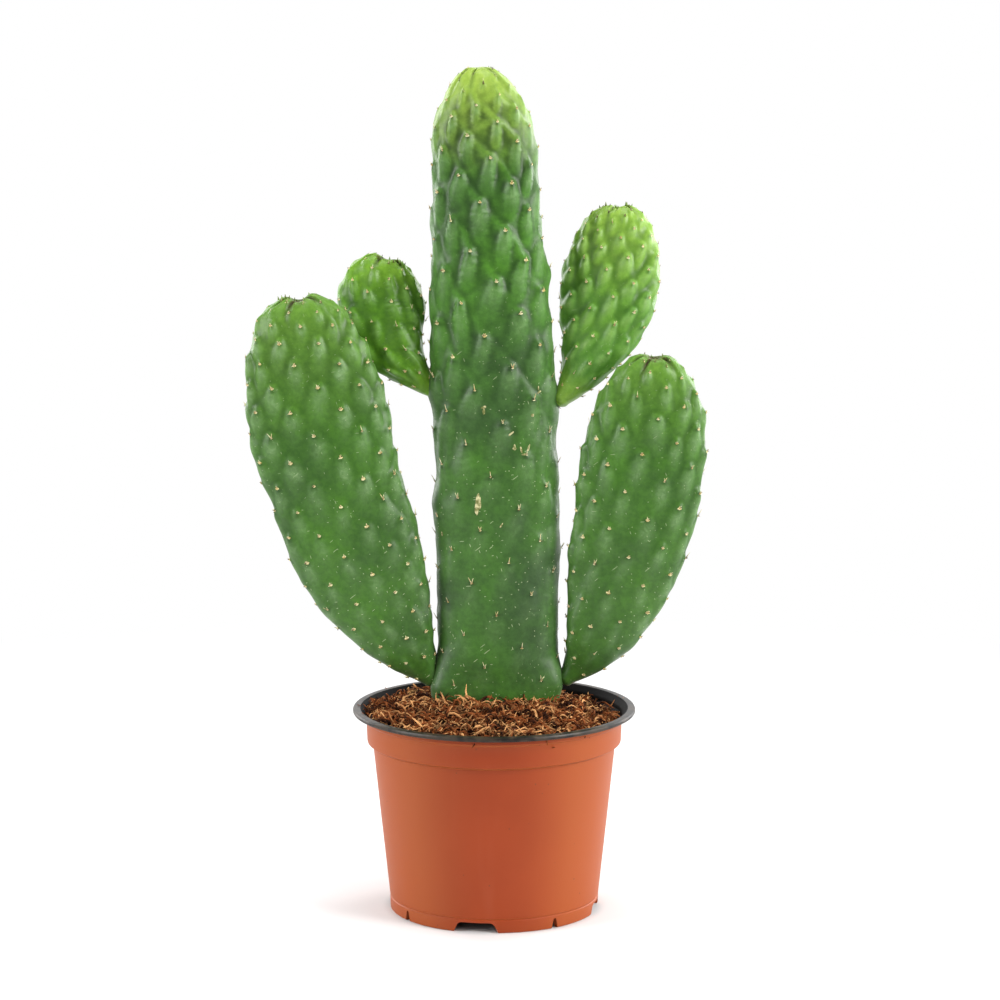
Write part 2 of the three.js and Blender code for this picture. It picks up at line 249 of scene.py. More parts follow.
def openGroup(name, takes):
    group = bpy.data.node_groups.new(name, "ShaderNodeTree")
    for socketName, value in takes.items():
        kind = "NodeSocketColor" if isinstance(value, tuple) else "NodeSocketFloat"
        group.interface.new_socket(socketName, in_out="INPUT", socket_type=kind).default_value = value
    entry = group.nodes.new("NodeGroupInput")
    entry.location = (-1300, 0)
    return group, entry.outputs


def closeGroup(group, gives):
    for socketName, value in gives.items():
        kind = "NodeSocketColor" if value.type == "RGBA" else "NodeSocketFloat"
        group.interface.new_socket(socketName, in_out="OUTPUT", socket_type=kind)
    out = group.nodes.new("NodeGroupOutput")
    out.location = (1300, 0)
    feed(out, gives)
    return group


def newMaterial(name):
    material = bpy.data.materials.new(name)
    material.use_nodes = True
    return material, material.node_tree


# what every finish ends in: a fine bump, and the shader's own sockets
def finishMaterial(material, height, strength, depth, sockets):
    tree = material.node_tree
    bump = addNode(tree, "Bump", {"Strength": strength, "Distance": depth, "Height": height})[0]
    feed(tree.nodes["Principled BSDF"], {"Normal": bump, **sockets})
    return material


def srgb(red, green, blue):
    def linear(value):
        value /= 255
        return value / 12.92 if value <= 0.04045 else ((value + 0.055) / 1.055) ** 2.4
    return (linear(red), linear(green), linear(blue), 1.0)


# shader groups

# fine grain and a slower cloud, for plastic, fibre and skin
def makeGrainGroup():
    group, given = openGroup("fineGrain", {"Scale": 900.0, "Cloud Scale": 40.0})
    place = objectPlace(group)
    return closeGroup(group, {
        "Grain": noiseNode(place, given["Scale"], 2.0),
        "Cloud": noiseNode(place, given["Cloud Scale"], 4.0)})


# scattered specks, such as pores on skin or crumbs of soil on plastic, or dashes if drawn out
def makeSpeckGroup():
    group, given = openGroup("specks", {
        "Scale": 300.0, "Size": 0.12, "Share": 0.3, "Turn": 0.0, "Length": 1.0})
    turned = addNode(group, "VectorRotate", {
        "Vector": objectPlace(group), "Axis": (0.2, 1, 0.1), "Angle": given["Turn"]})[0]
    sizes = addNode(group, "CombineXYZ", (1.0, 1.0, mathNode("DIVIDE", 1.0, given["Length"])))[0]
    drawn = addNode(group, "VectorMath", (turned, sizes), operation="MULTIPLY")[0]
    cells = addNode(group, "TexVoronoi", {"Vector": drawn, "Scale": given["Scale"]})
    near = mathNode("LESS_THAN", cells["Distance"], given["Size"])
    split = addNode(group, "SeparateColor", [cells["Color"]])
    chosen = mathNode("LESS_THAN", split[0], given["Share"])
    return closeGroup(group, {"Specks": times(near, chosen)})


grainGroup = makeGrainGroup()
speckGroup = makeSpeckGroup()


def placeGrain(tree, scale, cloudScale):
    return addNode(tree, "Group", {"Scale": scale, "Cloud Scale": cloudScale}, node_tree=grainGroup)


def placeSpecks(tree, **sockets):
    return addNode(tree, "Group", sockets, node_tree=speckGroup)["Specks"]


skinLook = {
    "grain": 1400.0, "cloud": 55.0, "patches": 22.0, "mottle": 340.0, "rubbed": 190.0, "scarGrain": 500.0,
    "pore": (190, 206, 158), "cork": ((34, 24, 12), (100, 74, 36)),
    "scratches": ((0.35, 6.0), (-0.9, 12.0), (1.7, 9.0)),     # turn and length of each kind
}


# waxy cactus skin: a green that goes from old to young, painted shade in the furrows, and pale bloom with a
# painted sheen on the ridges
def makeSkinGroup():
    look = skinLook
    black = (0, 0, 0, 1)
    group, given = openGroup("waxySkin", {
        "Old": black, "Fresh": black, "Young": black, "Shade and Mottle": black, "Bloom and Sheen": (1, 1, 1, 1),
        "Bloom and Sheen Amount": 0.3, "Speck Amount": 0.5, "Roughness": 0.4})
    place = objectPlace(group)
    ridge, paintedShade, young, scar, waxAndSheen, dust = (
        valueNode(group, name) for name in ("ridge", "paintedShade", "young", "scar", "waxAndSheen", "dust"))
    grain = placeGrain(group, look["grain"], look["cloud"])

    # old to fresh green in soft patches, with the valleys fresher than the ridges
    patches = noiseNode(place, look["patches"], 3.0, 0.55)
    fresh = times(ridge, -0.15, rangeNode(patches, 0.3, 0.7, 0.3, 0.9))
    fresh = times(times(dust, dust), -0.3, fresh, clamp=True)
    base = mixColour(fresh, given["Old"], given["Fresh"])
    youngEdge = times(grain["Cloud"], 0.36, -0.18)
    youngEdge = times(ridge, -0.12, youngEdge)
    youngShare = times(mathNode("ADD", young, youngEdge), rangeNode(young, 0.0, 0.15), clamp=True)
    base = mixColour(youngShare, base, given["Young"])

    # fine mottling, then painted shade in the furrows and at the foot of each ridge
    mottle = noiseNode(place, look["mottle"], 4.0, 0.65)
    base = mixColour(rangeNode(mottle, 0.3, 0.7, 0.0, 0.36), base, given["Shade and Mottle"], "SOFT_LIGHT")
    base = mixColour(times(paintedShade, 0.85, clamp=True), base, given["Shade and Mottle"])

    # pale waxy bloom with a painted sheen, rubbed into clouds, strongest on the raised skin and in a streak
    # under each areole
    rubbed = noiseNode(place, look["rubbed"], 6.0, 0.7, 0.8)
    evenly = times(times(ridge, 0.17, 0.05), times(dust, 0.75, 0.25))
    streaks = times(waxAndSheen, times(dust, -0.75, 1.05))
    bloomAndSheen = times(times(rangeNode(rubbed, 0.42, 0.74), 0.85, 0.5), mathNode("ADD", evenly, streaks))
    # no bloom or painted sheen in the painted shade
    bloomAndSheen = times(bloomAndSheen, mathNode("SUBTRACT", 1.0, paintedShade, clamp=True))
    bloomAndSheen = times(bloomAndSheen, given["Bloom and Sheen Amount"], clamp=True)
    base = mixColour(bloomAndSheen, base, given["Bloom and Sheen"])

    # pale pores and short scratches
    marks = placeSpecks(group, Scale=520.0, Size=0.17, Share=0.1)
    for turn, length in look["scratches"]:
        marks = mathNode("MAXIMUM", marks, placeSpecks(
            group, Scale=700.0, Size=0.14, Share=0.11, Turn=turn, Length=length))
    marks = times(marks, times(dust, given["Speck Amount"]))
    base = mixColour(marks, base, srgb(*look["pore"]))

    # brown, dry skin in the cleft of the crown
    scarNoise = noiseNode(place, look["scarGrain"], 4.0, 0.7)
    scarShare = times(scar, rangeNode(scarNoise, 0.3, 0.6), clamp=True)
    base = mixColour(scarShare, base, mixColour(grain["Grain"], *(srgb(*shade) for shade in look["cork"])))

    rough = times(bloomAndSheen, 0.35, given["Roughness"])
    height = times(grain["Grain"], 0.35, rubbed)
    return closeGroup(group, {
        "Color": base, "Roughness": times(scarShare, 0.3, rough),
        "Height": times(scarShare, 0.8, height)})


skinGroup = makeSkinGroup()


# pads

padLook = {
    "fullness": 0.9,              # 1 is an elliptic section, less has blunter edges
    "crowdStart": 0.55,           # share of the length where the areoles begin to crowd
    "tipCrowding": 3,
    "rootCap": 4, "rootRise": 20, "tipBand": 12,                  # mm from the ends
    "reach": 12.5, "fingerWidth": 0.155, "topFall": 1.8,          # the swelling under each areole
    # the ribs, and where the streak of bloom and painted sheen sits below each areole
    "ribWidth": 2.1, "ribEnd": 1.8, "waxAndSheenPlace": (0.3, 0.2),
    "crease": (7, 3), "creaseStart": 5,                           # creases round the crown
    "reliefWidth": 20, "reliefDepth": 0.6,
    "dome": (2.3, 6),                                             # on the trunk's tip
    "uneven": ((0.5, 34, 5, (1, 1, 1)), (0.1, 9, 6, (1, 1, 1))),  # height, wavelength, seed, stretch
    # the same, with 0 for all round or 4 for the edges only
    "rootedUneven": ((0.35, 14, 9, (1, 1, 0.4), 0), (0.6, 17, 12, (0.2, 0.2, 1), 4)),
}

# what a pad has unless its own entry says otherwise
# each pad also sets how dark its painted shade is in the dips and in the crown's creases
anyPad = {
    "root": 5, "rootTaper": 0.2, "yaw": 0, "first": 0, "pairs": 1, "tuck": 0, "creases": 9,
    "creaseDepth": 1.4, "creaseShade": 0.45, "youngNeck": 0, "youngFrom": 0.6, "youngEase": 1.5,
}
lowerPad = {
    **anyPad, "halfThicknesses": (8, 11, 12, 12, 11.5, 10.5, 9), "thicknessCap": 16,
    "creaseDepth": 2.1, "creaseShade": 0.9, "buds": 7, "edge": 1.15, "stretch": 1.25, "tuck": 4,
    "scarred": 1.6, "knuckle": (7.5, 11, 4), "shadeAmount": 0.72, "lean": 0.05, "rib": 0.15, "flank": 2.0,
    "skin": "padSkin", "slot": "pad_skin",
}
upperPad = {
    **anyPad, "thicknessCap": 13, "youngNeck": 0.7, "knuckle": (3, 10, 0), "shadeAmount": 0.75, "flank": 2.2,
}

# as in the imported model: spine points in mm, half sizes evenly spaced from root to tip
padShapes = {
    "trunk_pad": {
        **anyPad, "base": (1.2, 10, 126.7), "bend": (6.8, 9.5, 189.8), "tip": (-8.5, 6, 506.2),
        "halfWidths": (36.8, 35.9, 37.5, 35.9, 35.7, 32.8, 29.9, 29.3),
        "halfThicknesses": (16, 18, 19, 19, 18.5, 18, 17.5, 16),
        "widthCap": 50, "thicknessCap": 24, "root": 33, "rootTaper": 0.45,
        "areoles": 167.2, "crowding": 0.63, "divergence": 137.77,
        "start": 300.7, "curl": -15, "ridges": (0.5, 0.7, 1.2, 2.2, 3.1, 3.6, 3.8, 3.4),
        "crownDip": 3, "creases": 14, "buds": 14, "edge": 0.5, "stretch": 1, "scarred": 0.25,
        "shadeAmount": 0.85, "lean": 0.12, "rib": 0.52, "flank": 2.5, "sides": 270, "rings": 364,
        "youngFrom": 0.81, "youngEase": 1.4, "skin": "trunkSkin", "slot": "trunk_skin",
        "dust": (1, 1, 0.9, 0.7, 0.22, 0.05, 0.05),
    },
    "pad_lower_left": {
        **lowerPad, "base": (-37.7, 6, 138.9), "bend": (-100.1, -1.1, 218.2), "tip": (-114.9, -15.2, 374.8),
        "halfWidths": (6, 25, 36.9, 38.5, 40.1, 35.8, 18.8), "widthCap": 13.2,
        "areoles": 160, "crowding": 0.21, "divergence": 38.73, "first": 0.1, "pairs": 2,
        "start": 234.4, "curl": 13, "ridges": (0.7, 0.9, 1.3, 1.9, 2.4, 2.7, 2.4),
        "crownDip": 6, "sides": 220, "rings": 230, "dust": (1, 0.9, 0.7, 0.4, 0.3),
    },
    "pad_upper_left": {
        **upperPad, "base": (-36.7, 9, 314.2), "bend": (-78.7, 14.4, 347.6), "tip": (-63.1, 21.9, 394.4),
        "halfWidths": (4.5, 11.2, 19.7, 25.9, 28.6, 32.2), "halfThicknesses": (6.5, 8.5, 9.5, 9.5, 9, 8),
        "widthCap": 47.9, "areoles": 79, "crowding": 0.63, "divergence": -138.4, "first": 0.35,
        "start": 15, "curl": 9, "ridges": (0.6, 1.7, 2.6, 2.9, 2.9, 2.6),
        "crownDip": 3.5, "creaseShade": 0.9, "buds": 6, "edge": 0.55, "stretch": 1.2, "scarred": 0.9,
        "lean": -0.2, "rib": 0.25, "sides": 170, "rings": 130,
        "skin": "brightPadSkin", "slot": "pad_skin", "dust": (0.5, 0.3, 0.2),
    },
    "pad_upper_right": {
        **upperPad, "base": (40.5, 8.5, 309.2), "bend": (72, 13.5, 345.3), "tip": (73.8, 24.7, 425.3),
        "halfWidths": (4.8, 15.2, 24.6, 28.1, 25.2, 22.5), "halfThicknesses": (7, 10, 10.5, 10.5, 10, 9),
        "widthCap": 30, "yaw": -20, "areoles": 124.9, "crowding": 1.47, "divergence": -137.21,
        "start": 216.7, "curl": -34, "ridges": (0.6, 1.8, 2.8, 3.2, 2.9, 2.4),
        "crownDip": 3, "buds": 10, "edge": 0.5, "stretch": 1.25, "scarred": 0.6,
        "lean": 0.2, "rib": 0.3, "sides": 180, "rings": 170, "youngFrom": 0.45, "youngEase": 1.2,
        "skin": "youngPadSkin", "slot": "young_pad_skin", "dust": (0.6, 0.3, 0.15),
    },
    "pad_lower_right": {
        **lowerPad, "base": (44.3, 6, 140.1), "bend": (83.3, 3, 174), "tip": (94.7, -12, 339.7),
        "halfWidths": (5.5, 21.7, 31.2, 34.7, 35.6, 31.6, 25.8), "widthCap": 37.3, "root": 6,
        "areoles": 118.4, "crowding": 0.38, "divergence": 137.8, "first": 0.8,
        "start": 230.7, "curl": -5, "ridges": (0.7, 0.9, 1.3, 1.9, 2.3, 2.6, 2.4),
        "crownDip": 5, "sides": 200, "rings": 210, "youngEase": 2.2, "dust": (1, 0.9, 0.7, 0.5, 0.3),
    },
}


# a smooth value through evenly spaced ones
def through(values, share):
    values = np.array(values, float)
    last = len(values) - 1
    place = np.clip(share, 0, 1) * last
    i = np.minimum(place.astype(int), last - 1)
    t = place - i
    b, c = values[i], values[i + 1]
    a = np.where(i > 0, values[np.maximum(i - 1, 0)], 2 * b - c)
    d = np.where(i + 2 <= last, values[np.minimum(i + 2, last)], 2 * c - b)
    return 0.5 * (2 * b + (c - a) * t + (2 * a - 5 * b + 4 * c - d) * t**2 + (3 * b - a - 3 * c + d) * t**3)


def traceSpine(pad):
    t = np.linspace(0, 1, 1501)[:, None]
    base, bend, tip = (np.array(pad[key], float) for key in ("base", "bend", "tip"))
    line = (1 - t) ** 2 * base + 2 * t * (1 - t) * bend + t**2 * tip
    way = (1 - t) * (bend - base) + t * (tip - bend)
    pad["way"], pad["line"] = unit(way), line
    pad["run"] = np.concatenate([[0], np.cumsum(np.linalg.norm(np.diff(line, axis=0), axis=1))])
    pad["length"] = pad["run"][-1]


def padFrame(pad, s):
    clamped = np.clip(s, 0, pad["length"])
    up, centre = (
        np.stack([np.interp(clamped, pad["run"], pad[key][:, i]) for i in range(3)], -1)
        for key in ("way", "line"))
    up = unit(up)
    centre += up * np.minimum(s, 0)[..., None]
    yaw = math.radians(pad["yaw"]) * (1 - clamped / pad["length"])
    facing = np.stack([np.sin(yaw), -np.cos(yaw), np.zeros_like(yaw)], -1)
    across = unit(np.cross(up, facing))
    return centre, up, across, np.cross(across, up)


def roundEnd(toEnd, cap):
    return np.sqrt(1 - np.clip(1 - toEnd / cap, 0, 1) ** 2)


def halfSizes(pad, s):
    share = s / pad["length"]
    toTip = np.maximum(pad["length"] - s, 0)
    taper = 1 - pad["rootTaper"] * (np.minimum(s, 0) / pad["root"]) ** 2
    close = taper * roundEnd(s + pad["root"], padLook["rootCap"])
    width = through(pad["halfWidths"], share) * roundEnd(toTip, pad["widthCap"]) * close
    thickness = through(pad["halfThicknesses"], share) * roundEnd(toTip, pad["thicknessCap"]) * close
    return width, thickness


# the pad's smooth skin: the angle runs from the right edge over the front to the left
def skinPoints(pad, s, angle):
    centre, up, across, front = padFrame(pad, s)
    width, thickness = halfSizes(pad, s)
    cosine, sine = np.cos(angle), np.sin(angle)
    x = width * np.sign(cosine) * np.abs(cosine) ** padLook["fullness"]
    y = thickness * np.sign(sine) * np.abs(sine) ** padLook["fullness"]
    dip = np.where(pad["length"] - s < 30, pad["crownDip"] * np.exp(-(x**2 + y**2) / 25), 0)
    tuck = pad["tuck"] * bell(s, 16)
    return centre + across * x[..., None] + front * (y - tuck)[..., None] - up * dip[..., None]


def skinNormals(pad, s, angle):
    top = np.minimum(s + 0.4, pad["length"] - 0.05)
    upward = skinPoints(pad, top, angle) - skinPoints(pad, top - 0.8, angle)
    around = skinPoints(pad, s, angle + 0.02) - skinPoints(pad, s, angle - 0.02)
    return unit(np.cross(upward, around))


# areoles follow one another by the same turn, singly or in pairs, and crowd together towards the tip
def placeAreoles(pad):
    start = padLook["crowdStart"]
    spacing = pad["length"] * (1 + pad["crowding"] * (1 - start) / 3) / pad["areoles"]
    stations, angles, steps = [], [], []
    s, k = pad["first"] * spacing * pad["pairs"], 0
    while s < pad["length"] - 1.5:
        late = max(s / pad["length"] - start, 0) / (1 - start)
        step = spacing / (1 + pad["crowding"] * late**2 + padLook["tipCrowding"] * late**10)
        turn = math.radians(pad["start"] + pad["curl"] * (s / pad["length"]) ** 2 + k * pad["divergence"])
        for pair in range(pad["pairs"]):
            stations.append(s)
            angles.append(turn + pair * math.pi)
            steps.append(step)
        s += step * pad["pairs"]
        k += 1
    s, angle = np.array(stations), np.array(angles)
    width, _ = halfSizes(pad, s)
    pad["spots"] = {
        "s": s, "angle": angle, "reach": padLook["reach"] * pad["stretch"] * np.array(steps),
        "half": padLook["fingerWidth"] * np.maximum(width, 14) / pad["stretch"],
        "point": skinPoints(pad, s, angle), "normal": skinNormals(pad, s, angle),
        "up": padFrame(pad, s)[1], "size": (np.array(steps) / spacing) ** 0.5,
    }


# the nearest areoles below to the right and to the left, as steps across and up
def ribEnds(spots, k, side):
    offset = spots["point"] - spots["point"][k]
    across, rise = offset @ side, offset @ spots["up"][k]
    away = np.linalg.norm(offset, axis=1)
    facing = spots["normal"] @ spots["normal"][k]
    ends = []
    for hand in (1, -1):
        turn = np.arctan2(across * hand, -rise)
        cost = away + 0.7 * spots["reach"][k] * np.abs(turn - 0.6)
        fits = (rise < 0) & (turn > 0.1) & (turn < 1.2) & (facing > 0.3) & (away < 1.3 * spots["reach"][k])
        if fits.any():
            nearest = int(np.argmin(np.where(fits, cost, 1e9)))
            ends.append((hand, float(across[nearest]), float(rise[nearest])))
    return ends


# each areole tops a finger-like swelling, with a rib down to the next areole on either side
# it also gives a streak of bloom with a painted sheen below each areole, and a painted shadow just under it
def ridgesAt(pad, points):
    spots, look = pad["spots"], padLook
    waxAndSheenMiddle, waxAndSheenWidth = look["waxAndSheenPlace"]
    random = np.random.default_rng(3)
    ridge, waxAndSheen, shade = (np.zeros(len(points)) for _ in range(3))
    for k in range(len(spots["s"])):
        reach = spots["reach"][k] * random.uniform(0.9, 1.25)
        half = spots["half"][k] * spots["size"][k] * random.uniform(0.85, 1.2)
        lean = random.normal(pad["lean"], 0.07)
        strength = random.uniform(0.85, 1.1)
        offset = points - spots["point"][k]
        rise = offset @ spots["up"][k]
        near = np.nonzero((rise > -reach) & (rise < 6) & (np.abs(offset).max(axis=1) < reach + 8))[0]
        offset, rise = offset[near], rise[near]
        side = unit(np.cross(spots["up"][k], spots["normal"][k]))
        across = offset @ side
        depth = offset @ np.cross(side, spots["up"][k])
        aside = np.hypot(across - lean * np.minimum(rise, 0), depth * 0.7)
        down = np.clip(-rise / reach, 0, 1)
        wide = half * (0.52 + 0.42 * np.clip(down / 0.28, 0, 1) + 0.12 * down)
        fall = (0.5 + 0.5 * np.cos(down * math.pi)) ** 0.7
        fall = np.where(rise > 0, bell(rise, look["topFall"]), fall)
        scale = strength * fall * np.exp(-((aside / wide) ** pad["flank"]))
        for hand, endAcross, endRise in ribEnds(spots, k, side):
            power = pad["rib"] * random.uniform(*((0.5, 1.2) if hand * pad["lean"] >= 0 else (0, 0.8)))
            bow = random.normal(0, 1.3)
            span = math.hypot(endAcross, endRise)
            wayAcross, wayRise = endAcross / span, endRise / span
            along = across * wayAcross + rise * wayRise
            arch = np.sin(np.clip(along / span, 0, 1) * math.pi)
            out = hand * (rise * wayAcross - across * wayRise) + bow * arch
            outside, inside = np.maximum(out, 0) / look["ribWidth"], np.maximum(-out, 0) / (1.2 * half)
            edge = np.exp(-outside ** 2 - inside ** 1.5)
            run = bell(along - np.clip(along, 0, span), look["ribEnd"]) * (1 - 0.45 * arch)
            scale = np.maximum(scale, power * edge * run * bell(depth, 1.6 * half))
        ridge[near] = np.maximum(ridge[near], scale)
        # a streak of pale bloom with a painted sheen below each areole
        below = (rise < 0) * bell(aside, 0.7 * half)
        amount = 0.45 + 0.75 * (k * 0.618 % 1)
        waxAndSheen[near] = np.maximum(waxAndSheen[near], amount * below * bell(down - waxAndSheenMiddle, waxAndSheenWidth))
        # a painted shadow just under each areole
        under = (rise < 0.3) * bell(aside, 0.45 * half) * bell(-rise - 1.7, 1.1)
        shade[near] = np.maximum(shade[near], under)
    return ridge, waxAndSheen, shade


# the finer pad that stands for a node: swellings, creases, joints, and values for its skin's colours,
# painted shade among them
def makePad(name, pad):
    look, length = padLook, pad["length"]
    piece, share, angle = roundBlank(name + "_skin", pad["sides"], pad["rings"])
    grid = gridRows(share, angle, pad["sides"], pad["rings"])
    # rings evenly spaced along the outline, so both ends are as fine as the middle
    s = np.concatenate([
        -pad["root"] + look["rootCap"] * (1 - np.cos(np.linspace(0, math.pi / 2, 60))),
        np.linspace(-pad["root"] + look["rootCap"], length - look["tipBand"], 900)[1:],
        length - look["tipBand"] * (1 - np.sin(np.linspace(0, math.pi / 2, 200)[1:])),
    ])
    width, thickness = halfSizes(pad, s)
    outline = np.concatenate([[0], np.cumsum(np.hypot(np.diff(s), np.diff(width + thickness) / 2))])
    s = np.interp(share * outline[-1], outline, s)
    smooth = skinPoints(pad, s, -angle)
    normal = skinNormals(pad, np.clip(s, -pad["root"] + 0.6, length - 0.3), -angle)
    up = padFrame(pad, s)[1]
    atTip, atRoot = share > 1 - 0.5 / pad["rings"], share < 0.5 / pad["rings"]
    normal[atTip], normal[atRoot] = up[atTip], -up[atRoot]

    sway = np.stack([unevenField(smooth, 24, seed) for seed in (21, 22, 23)], -1)
    ridge, waxAndSheen, under = ridgesAt(pad, smooth + 0.9 * sway)
    along = np.clip(s / length, 0, 1)
    height = through(pad["ridges"], along) * (1 + (pad["edge"] - 1) * np.cos(angle) ** 6)
    rooted = ease(s / look["rootRise"])
    tipFade = np.clip((length - s) / (0.06 * length), 0.6, 1)
    lift = blurOver(height * rooted * tipFade * ridge, grid, 3, 2)

    # creases that run out from the crown
    toPole = np.linalg.norm(smooth - smooth[atTip].mean(axis=0), axis=1)
    spread = bell(np.maximum(toPole - look["creaseStart"], 0), pad["creases"]) * np.clip(toPole / 3, 0, 1)
    count, sharpness = look["crease"]
    crease = np.clip(np.cos(count * angle + 0.8 * np.sin(3 * angle)), 0, 1) ** sharpness * spread
    lift -= pad["creaseDepth"] * crease

    # where the relief is lower or higher than round about it: the dips get painted shade, the crests a
    # painted highlight
    spacings = 2 * math.pi * max(pad["halfWidths"]) / pad["sides"], outline[-1] / pad["rings"]
    passes = (round(look["reliefWidth"] / spacing**2) for spacing in spacings)
    relief = (lift - blurOver(lift, grid, *passes)) / look["reliefDepth"]
    dip, crest = np.clip(-relief, 0, 1), np.clip(relief, 0, 1)
    # painted shade in the dips and a painted shadow under each areole, weaker near the tip
    paintedShade = dip * np.clip(height / 2.6, 0.5, 1.1) + under * np.clip(height / 1.4, 0.45, 1)
    paintedShade = np.clip(paintedShade, 0, 1) * pad["shadeAmount"] * np.clip((length - s) / 22, 0.35, 1)
    # painted shade in the crown's creases
    paintedShade = np.maximum(paintedShade, crease * pad["creaseShade"])
    for amount, wavelength, seed, stretch in look["uneven"]:
        lift += amount * unevenField(smooth * stretch, wavelength, seed)
    for amount, wavelength, seed, stretch, atEdges in look["rootedUneven"]:
        lift += amount * unevenField(smooth * stretch, wavelength, seed) * rooted * np.cos(angle) ** atEdges

    # the trunk's dome, and the swellings that its side pads grow from
    if name == "trunk_pad":
        lift += look["dome"][0] * bell(toPole, look["dome"][1])
        for other in padShapes.values():
            if "knuckle" in other:
                swelling, radius, drop = other["knuckle"]
                joint = other["line"][0] - np.array((0, 1.7 * drop, drop))
                lift += swelling * bell(np.linalg.norm(smooth - joint, axis=1), radius)
    skin = smooth + normal * lift[:, None]
    writePoints(piece, skin)

    # where each areole sits, just under the top end of its ridge
    spots = pad["spots"]
    seats = spots["point"] - 0.7 * spots["up"]
    nearest = [int(np.argmin(((smooth - seat) ** 2).sum(axis=1))) for seat in seats]
    pad["seat"] = seats + spots["normal"] * (lift[nearest] + 0.1)[:, None]
    pad["front"] = skin[normal[:, 1] < -0.3], normal[normal[:, 1] < -0.3]

    pale = np.clip((along - pad["youngFrom"]) / (1.02 - pad["youngFrom"]), 0, 1) ** pad["youngEase"]
    # the ridge value also carries a painted highlight on the crests; the others carry painted shade and the
    # streaks of bloom and painted sheen
    values = {
        "ridge": blurOver(0.7 * ridge + 0.25 * crest, grid, 4, 2),
        "paintedShade": paintedShade * np.maximum(rooted, 0.2),
        "waxAndSheen": waxAndSheen * rooted,
        "young": np.maximum(pale, pad["youngNeck"] * bell(np.maximum(s, 0), 13)),
        "scar": pad["scarred"] * (bell(toPole, 4.5) + crease * bell(toPole, 11)),
        "dust": through(pad["dust"], along),
    }
    for valueName, field in values.items():
        writeValue(piece, valueName, np.clip(field, 0, 1) * (rooted if valueName == "ridge" else 1))
    finishPiece(piece, node=name)
    return piece


# each skin's darkest green paints the shade in the furrows and also mottles the skin, and its pale bloom
# colour also paints a sheen
skinFinishes = {
    "trunkSkin": {
        "Old": (52, 85, 40), "Fresh": (82, 141, 34), "Young": (174, 202, 78), "Shade and Mottle": (10, 40, 2),
        "Bloom and Sheen": (122, 162, 98), "Bloom and Sheen Amount": 0.64, "Speck Amount": 0.68, "Roughness": 0.4,
    },
    "padSkin": {
        "Old": (50, 91, 28), "Fresh": (78, 132, 29), "Young": (110, 156, 50), "Shade and Mottle": (14, 52, 4),
        "Bloom and Sheen": (138, 172, 118), "Bloom and Sheen Amount": 0.9, "Speck Amount": 0.66, "Roughness": 0.38,
    },
    "brightPadSkin": {
        "Old": (69, 119, 23), "Fresh": (101, 155, 26), "Young": (138, 186, 46), "Shade and Mottle": (20, 60, 4),
        "Bloom and Sheen": (146, 184, 112), "Bloom and Sheen Amount": 0.7, "Speck Amount": 0.6, "Roughness": 0.36,
    },
    "youngPadSkin": {
        "Old": (81, 135, 46), "Fresh": (113, 164, 53), "Young": (152, 190, 72), "Shade and Mottle": (30, 74, 8),
        "Bloom and Sheen": (166, 200, 120), "Bloom and Sheen Amount": 0.6, "Speck Amount": 0.5, "Roughness": 0.36,
    },
}


def makeSkin(name, finish):
    material, tree = newMaterial(name)
    values = {key: srgb(*value) if isinstance(value, tuple) else value for key, value in finish.items()}
    skin = addNode(tree, "Group", values, node_tree=skinGroup)
    return finishMaterial(material, skin["Height"], 0.35, 0.0003, {
        "Base Color": skin["Color"], "Roughness": skin["Roughness"],
        "Specular IOR Level": 0.38, "Sheen Weight": 0.1, "Sheen Roughness": 0.5})


skins = {name: makeSkin(name, finish) for name, finish in skinFinishes.items()}
for pad in padShapes.values():
    traceSpine(pad)
    placeAreoles(pad)
for padName, pad in padShapes.items():
    grown = makePad(padName, pad)
    grown.data.materials.append(skins[pad["skin"]])
    print("pad:", padName, len(grown.data.polygons), "faces,", len(pad["spots"]["s"]), "areoles")


# areoles

areoleLook = {
    "radius": 1.0, "cushion": (1.15, 0.8, 0.5),
    "bristles": {"long": 3, "short": 7},
    "bristleLength": 1.2, "bristleRadius": 0.2,
    "spineLengths": {"long": 3.8, "short": 1.8},
    "spineRadius": 0.34,
    "spineSides": ((-1, 1), (0.2,), (-1, 1), (-0.9, 1), (-0.3,), (-1, 0.8)),     # how far each leans aside
    "longBelow": 0.55, "longShare": 0.15,     # share of the trunk that has long ones, and share elsewhere
    "kinds": 8,
    "lowest": 6,              # mm above a pad's joint
    "crownBuds": 12,
}

# dry, corky wounds on the trunk's front: x, z, half width, half height in mm, and turn in degrees
scars = [
    (-9.4, 249.6, 1.6, 5, 2), (-9.8, 246, 1.3, 4.2, -6), (16.6, 281, 0.6, 2.3, 14),
    (20.4, 282.6, 0.6, 2.7, -16), (18.4, 278.8, 1.7, 0.6, 8), (9.2, 289.6, 0.6, 3.2, -48),
    (12.4, 281.8, 1.2, 1, 0), (12, 283.6, 0.7, 1.3, 0), (-6, 304.4, 0.8, 2, 0),
    (-6.4, 306, 1.8, 0.7, 20), (22.6, 301, 1, 0.9, 0), (26.7, 315.6, 1.5, 0.6, 30),
    (26, 317, 0.5, 1.4, 0), (-31, 229, 0.6, 1.5, 10), (4.4, 236, 0.5, 1.6, -30),
]

